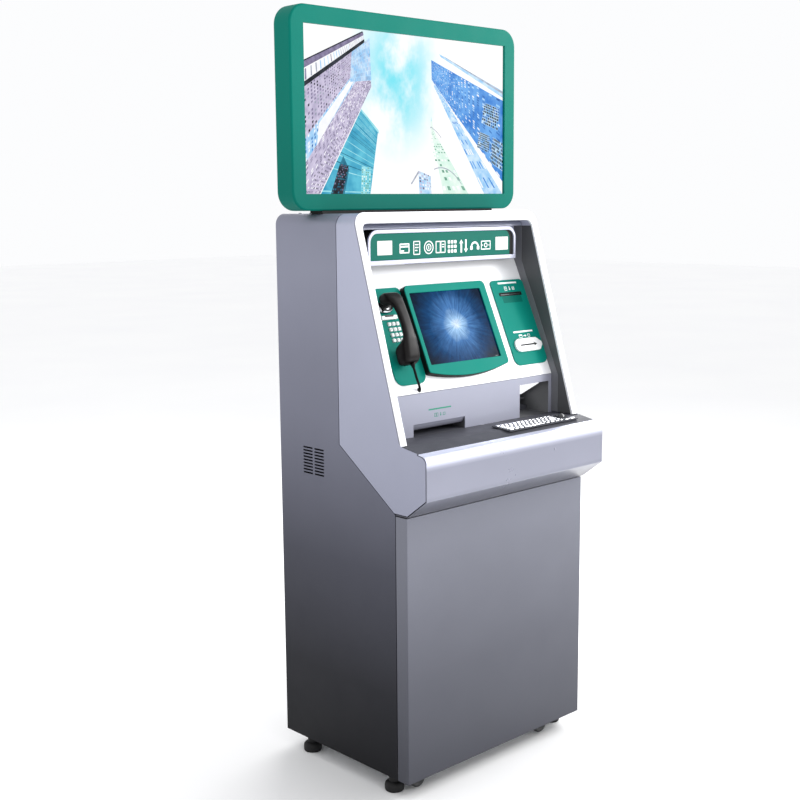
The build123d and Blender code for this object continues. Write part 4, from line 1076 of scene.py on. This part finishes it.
def key_cap(bm_, x0, x1, y0, y1, z0, z1, fn, dish=0.35):
    cx_, cy_ = (x0 + x1) / 2, (y0 + y1) / 2
    o_ = rrect(x0, x1, y0, y1, 1.1, 3)
    prev_ = [bm_.verts.new(fn(a, b_, z0)) for a, b_ in o_]
    bm_.faces.new(list(reversed(prev_)))
    w_, h_ = x1 - x0, y1 - y0
    for z, ins in ((z1 - 1.5, 0.0), (z1 - 0.5, 0.28), (z1 - 0.1, 0.62), (z1, 1.05)):
        sx_, sy_ = (w_ - 2 * ins) / w_, (h_ - 2 * ins) / h_
        cur_ = [bm_.verts.new(fn(cx_ + (a - cx_) * sx_, cy_ + (b_ - cy_) * sy_, z)) for a, b_ in o_]
        for k in range(len(cur_)):
            j = (k + 1) % len(cur_)
            bm_.faces.new((prev_[k], prev_[j], cur_[j], cur_[k]))
        prev_ = cur_
    ins2 = [bm_.verts.new(fn(cx_ + (a - cx_) * 0.45, cy_ + (b_ - cy_) * 0.45, z1 - dish * 0.8)) for a, b_ in o_]
    for k in range(len(prev_)):
        j = (k + 1) % len(prev_)
        bm_.faces.new((prev_[k], prev_[j], ins2[j], ins2[k]))
    bm_.faces.new(ins2)


for r in range(5):
    y1 = KD / 2 - 4.5 - r * PYK
    y0 = y1 - PYK
    x = FX0
    bm = bmesh.new()
    for n in UNITS[r]:
        w_ = n * PXK
        key_cap(bm, x + 2.2, x + w_ - 2.2, y0 + 2.1, y1 - 2.1, -1.3, 3.4, K)
        x += w_
    finish_obj("steel_keys_row_%d" % (r + 1), bm, m_steel, "key_row_%d" % (r + 1), ("key_row_%d" % (r + 1),), wn=False)
bm = bmesh.new()
slab(bm, rrect(FX0 - 0.4, FX1 + 0.4, -KD / 2 + 4.2, KD / 2 - 4.2, 1, 2), K, -4.6, -3.2)
ring(bm, rrect(FX0 - 1.6, FX1 + 1.6, -KD / 2 + 2.6, KD / 2 - 2.6, 1.6, 3), rrect(FX0 + 0.2, FX1 - 0.2, -KD / 2 + 4.6, KD / 2 - 4.6, 1, 3), K, 0.8, 1.25)
finish_obj("keyboard_key_bed", bm, m_dark, "root", bevel=0.2)
bm = bmesh.new()
B0 = (KL / 2 - 27.0, 6.0, -2.0)
lathe(bm, [(0, 12.0)] + [(12.0 * math.sin(math.radians(a)), 12.0 * math.cos(math.radians(a))) for a in range(6, 180, 6)] + [(0, -12.0)], lambda a, b_, h: K(B0[0] + a, B0[1] + b_, B0[2] + h), 48)
m_ball = plastic("ball_phenolic", (30, 31, 34), 0.12, 300.0, 0.01, coat=0.6, tint=(54, 56, 62))
finish_obj("trackball_ball", bm, m_ball, "trackball", ("trackball",), wn=False)
bm = bmesh.new()
lathe(bm, [(12.6, 0.6), (12.9, 2.1), (13.6, 2.7), (14.8, 2.6), (15.6, 1.9), (15.8, 0.8), (12.6, 0.6)], lambda a, b_, h: K(B0[0] + a, B0[1] + b_, h), 48)
finish_obj("trackball_ring", bm, m_dark, "root", wn=False)
for tag, (a_, b_) in (("left", (KL / 2 - 47, KL / 2 - 28.6)), ("right", (KL / 2 - 25.4, KL / 2 - 7))):
    bm = bmesh.new()
    key_cap(bm, a_, b_, -KD / 2 + 5, -KD / 2 + 15, -2.6, 3.0, K, 0.5)
    finish_obj("ball_button_cap_" + tag, bm, m_steel, "ball_button_" + tag, ("trackball_%s_button" % tag,), wn=False)

# ------------------------------------------------------------------ feet and casters
FEET = [(x, y) for x in (-295.0, 295.0) for y in (76.0, 389.0)]
bm = bmesh.new()
for x, y in FEET:
    lathe(bm, [(0, -44.0), (19.5, -44.0), (22.2, -43.2), (23.6, -41.0), (24.0, -37.0), (24.0, -31.0), (23.4, -27.0), (21.6, -23.4), (18.0, -20.6), (13.4, -19.4), (12.9, -17.5), (12.9, -8.0), (12.2, -6.4), (0, -6.2)], lambda a, b_, h: P(x + a, y + b_, h), 40, 0)
    zz = -6.0
    prof = [(0, -6.1)]
    while zz < 12.0:
        prof += [(5.95, zz), (5.3, zz + 0.75)]
        zz += 1.5
    lathe(bm, prof + [(0, 12.6)], lambda a, b_, h: P(x + a, y + b_, h), 24, 1)
    hexo = [(x + 10.8 * math.cos(math.radians(60 * k)), y + 10.8 * math.sin(math.radians(60 * k))) for k in range(6)]
    slab(bm, hexo, lambda a, b_, d: P(a, b_, d), 7.8, 13.9, 1)
finish_obj("levelling_feet_set", bm, [m_rubber, m_zinc], "root", ("levelling_feet",), bevel=0.4, angle=50, merge=0)

for tag, x, y in (("front_left", -229.0, 47.0), ("front_right", 229.0, 47.0), ("rear_left", -229.0, 415.0), ("rear_right", 229.0, 415.0)):
    wx, wz = x - 20.0, -18.5
    bm = bmesh.new()
    fork = rounded([(x + 13, 13.0), (x - 12, 13.0), (wx - 8, wz + 6), (wx - 8, wz - 4.5), (wx + 8.5, wz - 6.0), (x + 13, 7.5)], [3, 3, 6, 6, 7, 3], 5)
    for s in (-1, 1):
        slab(bm, fork, lambda a, b_, d: P(a, y + s * d, b_), 9.7, 12.0)
    slab(bm, rounded([(x - 12, y - 12), (x + 13, y - 12), (x + 13, y + 12), (x - 12, y + 12)], 4, 4), lambda a, b_, d: P(a, b_, d), 9.6, 12.9)
    lathe(bm, [(0, 8.3), (13.6, 8.3), (15.0, 9.4), (15.0, 12.2), (13.8, 13.3), (5.0, 13.4), (5.0, 18.7), (8.0, 18.7), (8.0, 23.4), (0, 23.6)], lambda a, b_, h: P(x + a, y + b_, h), 28)
    lathe(bm, [(0, -14.2), (2.2, -14.2), (3.4, -13.4), (3.6, -12.0), (2.98, -12.0), (2.98, 12.0), (3.6, 12.0), (3.4, 13.4), (2.2, 14.2), (0, 14.2)], lambda a, b_, h: P(wx + a, y + h, wz + b_), 18)
    finish_obj("caster_fork_plate_" + tag, bm, m_black, "caster_" + tag, ("caster_fork_" + tag,), bevel=0.5, angle=45, merge=0)
    bm = bmesh.new()
    lathe(bm, [(3.1, -8.4), (6.0, -8.6), (6.6, -7.2), (14.0, -6.2), (15.4, -8.6), (19.6, -9.0), (21.6, -8.2), (22.4, -6.2), (22.5, 0), (22.4, 6.2), (21.6, 8.2), (19.6, 9.0), (15.4, 8.6), (14.0, 6.2), (6.6, 7.2), (6.0, 8.6), (3.1, 8.4), (3.1, -8.4)], lambda a, b_, h: P(wx + a, y + h, wz + b_), 44)
    finish_obj("caster_tyre_" + tag, bm, m_tyre, "wheel_" + tag, ("caster_wheel_" + tag,), wn=False)

# ------------------------------------------------------------------ big display: panel and its picture
bm = bmesh.new()
slab(bm, rrect(-358.6, 358.6, 1384.4, 1796.6, 1.5, 3), FX(326.0), 0.0, 13.2)
finish_obj("display_panel", bm, m_dark, "root", ("display_screen",), bevel=0.6)

m_sky = Mat("picture_sky")
n1 = m_sky.noise(5.2, 5.0, stretch=(1.0, 1.0, 0.75), rough=0.62)
n2 = m_sky.noise(2.1, 3.0)
px = m_sky.xyz()
dx = m_sky.math("DIVIDE", m_sky.math("SUBTRACT", px[0], -0.045), 0.16)
dz = m_sky.math("DIVIDE", m_sky.math("SUBTRACT", px[2], 1.725), 0.20)
rad = m_sky.math("SQRT", m_sky.math("ADD", m_sky.math("POWER", dx, 2.0), m_sky.math("POWER", dz, 2.0)))
mask = m_sky.rng(rad, 0.15, 1.25, 1.0, 0.0, True)
amt = m_sky.math("MULTIPLY", m_sky.rng(n1, 0.36, 0.58, 0.0, 1.0, True), mask)
skyc = m_sky.mix(amt, lin((255, 255, 255)), lin((120, 226, 240)))
skyc = m_sky.mix(m_sky.math("MULTIPLY", m_sky.rng(n2, 0.5, 0.75, 0.0, 0.3), m_sky.rng(px[2], 1.62, 1.84, 0.0, 1.0)), skyc, lin((206, 214, 246)))
m_sky.set(Emission_Color=skyc, Base_Color=m_sky.mix(0.98, skyc, (0, 0, 0, 1)))
m_sky.b.inputs["Emission Strength"].default_value = 1.02
m_sky.b.inputs["Roughness"].default_value = 0.3
m_sky.b.inputs["Specular IOR Level"].default_value = 0.02
PM = {"sky": m_sky.m}
for k, (a_, b_, sc) in {"lilac": ((184, 176, 204), (214, 206, 230), 60), "lilac_dk": ((112, 104, 134), (148, 140, 172), 90), "white": ((244, 246, 252), (255, 255, 255), 60),
                        "blue": ((58, 128, 212), (112, 174, 238), 30), "blue_dk": ((44, 96, 170), (78, 136, 206), 60), "blue_lt": ((150, 202, 244), (206, 232, 252), 50),
                        "teal": ((52, 152, 190), (100, 196, 220), 24), "teal_dk": ((34, 104, 132), (58, 138, 162), 60), "teal_lt": ((128, 214, 226), (170, 232, 240), 50),
                        "mint": ((214, 244, 230), (238, 252, 244), 40), "mint_dk": ((96, 150, 128), (140, 190, 168), 80), "ink": ((30, 34, 42), (58, 62, 74), 60),
                        "steel": ((150, 156, 172), (190, 196, 210), 60)}.items():
    PM[k] = glow("picture_" + k, a_, b_, sc, 0.94, spec=0.02)
PIX = list(PM)
WX0, WZ0, WW, WH = -349.0, 1394.0, 698.0, 393.0


class Pic:
    """Flat layers of the picture: quads in window fractions (s right, t up), each layer a little nearer the viewer."""

    def __init__(self):
        self.bm = bmesh.new()
        self.lift = 0.15

    def pt(self, s, t, k=0.0):
        if s < 0.5:
            s = s * (0.90 + 0.10 * max(0.0, s - 0.36) / 0.14)
        elif s > 0.60:
            s = 1.0 - (1.0 - s) * (1.0 + 0.10 * min(1.0, (s - 0.60) / 0.05))
        s, t = min(max(s, 0.0), 1.0), min(max(t, 0.0), 1.0)
        return self.bm.verts.new(P(WX0 + s * WW, 312.4 - self.lift - k, WZ0 + t * WH))

    def poly(self, pts, m, k=0.0):
        f = self.bm.faces.new([self.pt(s, t, k) for s, t in pts])
        f.material_index = PIX.index(m)
        if f.normal.y > 0:
            f.normal_flip()

    def up(self, d=0.03):
        self.lift += d

    def wall(self, q, nu, nv, body, panes, seed, mu=0.28, mv=0.24, skip=0.08, power=1.0):
        """A facade: body colour, then a grid of window panes in a four-sided region, in perspective.
        q = (bottom-left, bottom-right, top-right, top-left)."""
        rnd = random.Random(seed)
        self.poly(q, body)
        self.up()
        H = homog(q)
        for i in range(nu):
            for j in range(nv):
                if rnd.random() < skip:
                    continue
                u0, u1 = (i + mu) / nu, (i + 1 - mu) / nu
                v0, v1 = ((j + mv) / nv) ** power, ((j + 1 - mv) / nv) ** power
                c = [H(u0, v0), H(u1, v0), H(u1, v1), H(u0, v1)]
                self.poly(c, rnd.choice(panes))
        self.up()


def homog(q):
    """Projective map from the unit square to four points."""
    (x0, y0), (x1, y1), (x2, y2), (x3, y3) = q
    dx1, dx2, sx = x1 - x2, x3 - x2, x0 - x1 + x2 - x3
    dy1, dy2, sy = y1 - y2, y3 - y2, y0 - y1 + y2 - y3
    den = dx1 * dy2 - dx2 * dy1
    g = (sx * dy2 - dx2 * sy) / den
    h = (dx1 * sy - sx * dy1) / den
    a, b_, c = x1 - x0 + g * x1, x3 - x0 + h * x3, x0
    d, e, f = y1 - y0 + g * y1, y3 - y0 + h * y3, y0
    return lambda u, v: ((a * u + b_ * v + c) / (g * u + h * v + 1), (d * u + e * v + f) / (g * u + h * v + 1))


pic = Pic()
pic.poly([(0, 0), (1, 0), (1, 1), (0, 1)], "sky")
pic.up(0.05)
# right: blue glass tower seen from its foot, with pale ledges and dark panes
pic.poly([(0.68, 0.905), (1.0, 0.70), (1.0, 0.655), (0.69, 0.885)], "blue_lt")
pic.up()
pic.poly([(0.70, 0.895), (1.0, 0.695), (1.0, 0.680), (0.71, 0.886)], "steel")
pic.up()
pic.wall([(1.0, 0.085), (1.0, 0.635), (0.635, 0.860), (0.640, 0.735)], 26, 34, "blue", ["blue_dk", "blue_lt", "blue", "blue_dk", "blue_lt", "white"], 5, 0.20, 0.30, 0.25)
pic.wall([(0.905, 0.0), (1.0, 0.0), (0.668, 0.700), (0.655, 0.700)], 6, 30, "blue_lt", ["blue", "white", "blue_lt"], 9, 0.25, 0.25, 0.1)
for s0, t0_, w_, h_ in ((0.890, 0.545, 0.085, 0.135), (0.868, 0.365, 0.060, 0.105), (0.935, 0.300, 0.065, 0.170)):
    pic.wall([(s0, t0_ - h_ * 0.5), (s0 + w_, t0_ - h_ * 0.85), (s0 + w_ * 1.1, t0_ + h_ * 0.25), (s0 + w_ * 0.2, t0_ + h_ * 0.5)], 9, 8, "blue_lt", ["ink", "ink", "blue_dk"], int(s0 * 1000), 0.12, 0.14, 0.05)
# middle: pale green tower with two ledges, and a small block in front
pic.wall([(0.700, 0.0), (0.825, 0.0), (0.648, 0.425), (0.618, 0.425)], 5, 22, "mint", ["mint_dk", "mint", "white", "mint_dk"], 12, 0.22, 0.30, 0.15)
pic.poly([(0.612, 0.425), (0.655, 0.425), (0.640, 0.470), (0.622, 0.470)], "mint")
pic.poly([(0.624, 0.470), (0.634, 0.470), (0.630, 0.505)], "teal_lt")
pic.up()
arc1 = [(0.655 + 0.135 * k / 10, 0.175 - 0.55 * (k / 10 - 0.25) ** 2 * 0.35) for k in range(11)]
pic.poly(arc1 + [(s, t - 0.007) for s, t in reversed(arc1)], "steel")
arc2 = [(0.606 + 0.085 * k / 10, 0.435 - 0.40 * (k / 10 - 0.25) ** 2 * 0.30) for k in range(11)]
pic.poly(arc2 + [(s, t - 0.006) for s, t in reversed(arc2)], "steel")
pic.up()
pic.wall([(0.545, 0.0), (0.630, 0.0), (0.612, 0.115), (0.540, 0.150)], 7, 7, "blue_lt", ["white", "lilac_dk", "blue_lt", "lilac"], 21, 0.2, 0.2, 0.1)
pic.poly([(0.500, 0.065), (0.540, 0.150), (0.545, 0.140), (0.506, 0.060)], "steel")
pic.up()
# left: teal tower with floors as bands, its dark reflections
q = [(0.080, 0.0), (0.335, 0.0), (0.375, 0.395), (0.292, 0.520)]
pic.wall(q, 1, 40, "teal", ["teal_lt", "teal", "teal_lt", "teal_dk"], 31, 0.0, 0.36, 0.0)
pic.poly([(0.145, 0.0), (0.200, 0.0), (0.225, 0.150), (0.195, 0.235), (0.170, 0.150)], "teal_dk")
pic.up()
pic.wall([(0.130, 0.0), (0.190, 0.0), (0.222, 0.170), (0.178, 0.185)], 6, 12, "ink", ["teal_dk", "ink", "lilac_dk"], 35, 0.2, 0.2, 0.2)
pic.wall([(0.285, 0.0), (0.335, 0.0), (0.338, 0.165), (0.290, 0.170)], 5, 12, "teal_lt", ["mint_dk", "mint", "teal"], 37, 0.2, 0.2, 0.1)
pic.poly([(0.290, 0.523), (0.376, 0.398), (0.379, 0.372), (0.296, 0.500)], "teal_lt")
pic.up()
# left: tall stone tower in four bands that run together towards its top
pic.wall([(0.0, 0.0), (0.075, 0.0), (0.345, 0.660), (0.340, 0.790)], 12, 40, "lilac", ["lilac_dk", "lilac_dk", "lilac", "white", "ink"], 41, 0.22, 0.26, 0.05)
pic.poly([(0.0, 0.0), (0.0, 0.185), (0.318, 0.800), (0.340, 0.790)], "lilac")
pic.up()
pic.wall([(0.0, 0.0), (0.0, 0.185), (0.318, 0.800), (0.335, 0.770)], 12, 34, "lilac", ["lilac_dk", "lilac", "lilac_dk", "white"], 43, 0.2, 0.26, 0.05)
pic.wall([(0.0, 0.170), (0.0, 0.315), (0.310, 0.835), (0.320, 0.795)], 6, 44, "blue_lt", ["blue", "white", "blue_lt", "white", "blue_dk"], 45, 0.16, 0.30, 0.1)
pic.poly([(0.065, 0.290), (0.075, 0.420), (0.300, 0.800), (0.296, 0.775)], "white")
pic.up()
pic.wall([(0.0, 0.315), (0.0, 0.625), (0.300, 0.925), (0.312, 0.830)], 12, 44, "lilac", ["lilac_dk", "lilac_dk", "lilac", "steel", "ink"], 47, 0.22, 0.28, 0.05)
pic.wall([(0.235, 0.680), (0.245, 0.860), (0.338, 0.955), (0.345, 0.700)], 10, 22, "blue_lt", ["blue", "lilac", "blue_lt", "lilac_dk"], 49, 0.12, 0.36, 0.1)
pic.poly([(0.0, 0.625), (0.0, 0.655), (0.310, 0.945), (0.312, 0.925)], "ink")
pic.up()
pic.wall([(0.0, 0.655), (0.0, 0.730), (0.305, 0.965), (0.310, 0.945)], 1, 30, "white", ["steel", "blue_lt", "lilac_dk"], 51, 0.06, 0.38, 0.0)
pic.poly([(0.0, 0.735), (0.0, 0.775), (0.305, 0.985), (0.307, 0.967)], "lilac_dk")
pic.up()
pic.poly([(0.0, 0.775), (0.0, 0.783), (0.30, 0.990), (0.305, 0.985)], "ink")
o = finish_obj("display_picture", pic.bm, [PM[k] for k in PIX], "root", smooth=False, wn=False, merge=0)
print("picture lift mm", round(pic.lift, 3), "faces", len(o.data.polygons))

# ------------------------------------------------------------------ modules inside the cabinet
def module(name, node, x0, x1, y0, y1, z0, z1, fn, extra=None, r=3.0):
    bm_ = bmesh.new()
    slab(bm_, rrect(x0, x1, z0, z1, r, 4), lambda a, b_, d: fn(a, y1 - d, b_), 0.0, y1 - y0)
    if extra:
        extra(bm_)
    return finish_obj(name, bm_, [m_module, m_black, m_dark], "root", (node,), bevel=0.8, merge=0)


def pc_extra(m):
    for i in range(12):
        slab(m, rrect(-130 + 9 * i, -125 + 9 * i, 40, 128, 2.4, 3), FX(110.0), -0.4, 0.5, 2)
    slab(m, rrect(10, 120, 96, 132, 2, 3), FX(110.0), -0.4, 1.2, 1)
    for i in range(4):
        slab(m, rrect(14 + 27 * i, 34 + 27 * i, 50, 60, 1, 3), FX(110.0), -0.4, 1.0, 1)
    lathe(m, [(0, 2.0), (6.2, 2.0), (7.4, 1.2), (7.6, -0.4)], lambda a, b_, h: P(128 + a, 110 - h, 78 + b_), 24, 1)


module("industrial_pc_case", "industrial_pc", -150, 150, 110, 400, 18, 150, P, pc_extra)


def inc_fn(a, b_, c):
    """x, off-face depth, u used as y, z of a module box."""
    return I(a, c, b_)


def printer_extra(m):
    lathe(m, [(0, -36.0), (24.0, -36.0), (24.0, 36.0), (0, 36.0)], lambda a, b_, h: I(236 + h, 100 + a, -72 + b_), 32, 1)


bm = bmesh.new()
slab(bm, rrect(188, 284, 72, 150, 3, 4), I, -60.0, -2.3)
slab(bm, rrect(192, 280, 76, 146, 3, 4), I, -112.0, -60.2)
for i in range(9):
    slab(bm, rrect(200 + 8 * i, 204 + 8 * i, 84, 140, 1.8, 3), I, -112.6, -111.6, 2)
finish_obj("receipt_printer_body", bm, [m_module, m_black, m_dark], "root", ("receipt_printer",), bevel=0.8, merge=0)
bm = bmesh.new()
slab(bm, rrect(196, 270, 228, 262, 3, 4), I, -80.0, -2.3)
slab(bm, rrect(200, 266, 232, 258, 2, 4), I, -112.0, -80.2, 1)
finish_obj("card_reader_body", bm, [m_module, m_black], "root", ("card_reader",), bevel=0.8, merge=0)
bm = bmesh.new()
slab(bm, rrect(-228, -18, 790, 900, 4, 4), FX(330.0), 0.0, 150.0)
slab(bm, rrect(-220, -26, 796, 894, 4, 4), FX(180.2), 0.0, 27.8, 1)
for i in range(14):
    slab(bm, rrect(-214 + 13.5 * i, -209 + 13.5 * i, 840, 884, 2.4, 3), FX(152.6), 0.0, 0.9, 2)
finish_obj("passbook_printer_body", bm, [m_module, m_black, m_dark], "root", ("passbook_printer",), bevel=0.8, merge=0)

# ------------------------------------------------------------------ screws
bm = bmesh.new()


def screw(m, fn, r, h):
    lathe(m, [(0, h), (r * 0.35, h * 0.98), (r * 0.70, h * 0.86), (r * 0.92, h * 0.55), (r, h * 0.2), (r, -0.05), (0, -0.05)], fn, 24, 0)
    for a0_, a1_, b0_, b1_ in ((-r * 0.5, r * 0.5, -r * 0.10, r * 0.10), (-r * 0.10, r * 0.10, -r * 0.5, r * 0.5)):
        v = [m.verts.new(fn(a, b_, h + 0.02)) for a, b_ in ((a0_, b0_), (a1_, b0_), (a1_, b1_), (a0_, b1_))]
        m.faces.new(v).material_index = 1


for z in (60, 320, 640, 960, 1280):
    for x in (-309, 309):
        screw(bm, lambda a, b_, h: P(x + a, 463.5 + h, z + b_), 4.5, 1.5)
for x in (-260, 260):
    for y in (400, 440):
        screw(bm, lambda a, b_, h: P(x + a, y + b_, 1347 + h), 5.0, 2.1)
finish_obj("panel_screws", bm, [m_zinc, m_dark], "root", ("fasteners",), wn=False, merge=0)

# ------------------------------------------------------------------ floor, light, world
bm = bmesh.new()
ff = [bm.verts.new((x, y, 0.0)) for x, y in ((-14, -8), (22, -8), (22, 26), (-14, 26))]
bm.faces.new(ff)
M = Mat("studio_floor")
M.set(Base_Color=M.mix(M.rng(M.noise(0.8, 3.0), 0.3, 0.7, 0, 1), lin((250, 250, 251)), lin((253, 253, 253))), Roughness=M.rng(M.noise(3.0, 2.0), 0.3, 0.7, 0.6, 0.7))
floor = finish_obj("studio_floor", bm, M.m, None, smooth=False, wn=False)

w = bpy.data.worlds.new("studio")
bpy.context.scene.world = w
w.use_nodes = True
bg = w.node_tree.nodes["Background"]
bg.inputs[0].default_value = (0.985, 0.99, 1.0, 1.0)
bg.inputs[1].default_value = 0.99


def area(name, loc, target, size, energy, color=(1, 1, 1)):
    L = bpy.data.lights.new(name, "AREA")
    L.shape = "RECTANGLE"
    L.size, L.size_y = size
    L.energy = energy
    L.color = color
    o_ = bpy.data.objects.new(name, L)
    bpy.context.scene.collection.objects.link(o_)
    o_.location = loc
    o_.rotation_mode = "QUATERNION"
    o_.rotation_quaternion = (Vector(target) - Vector(loc)).to_track_quat("-Z", "Y")
    return o_


area("side_softbox", (2.9, -1.3, 2.7), (0.0, -0.1, 1.0), (3.4, 2.2), 80.0)
area("key_lamp", (2.4, -1.9, 2.2), (0.0, 0.0, 1.1), (0.5, 0.5), 27.0, (1.0, 0.995, 0.985))
area("lip_softbox", (2.3, -2.7, 1.5), (0.0, -0.2, 0.85), (1.7, 1.3), 22.0)
area("back_softbox", (2.7, 1.9, 2.6), (0.0, -0.2, 0.9), (2.6, 1.7), 62.0)
bpy.context.scene.view_settings.view_transform = "Standard"
bpy.context.scene.view_settings.look = "None"
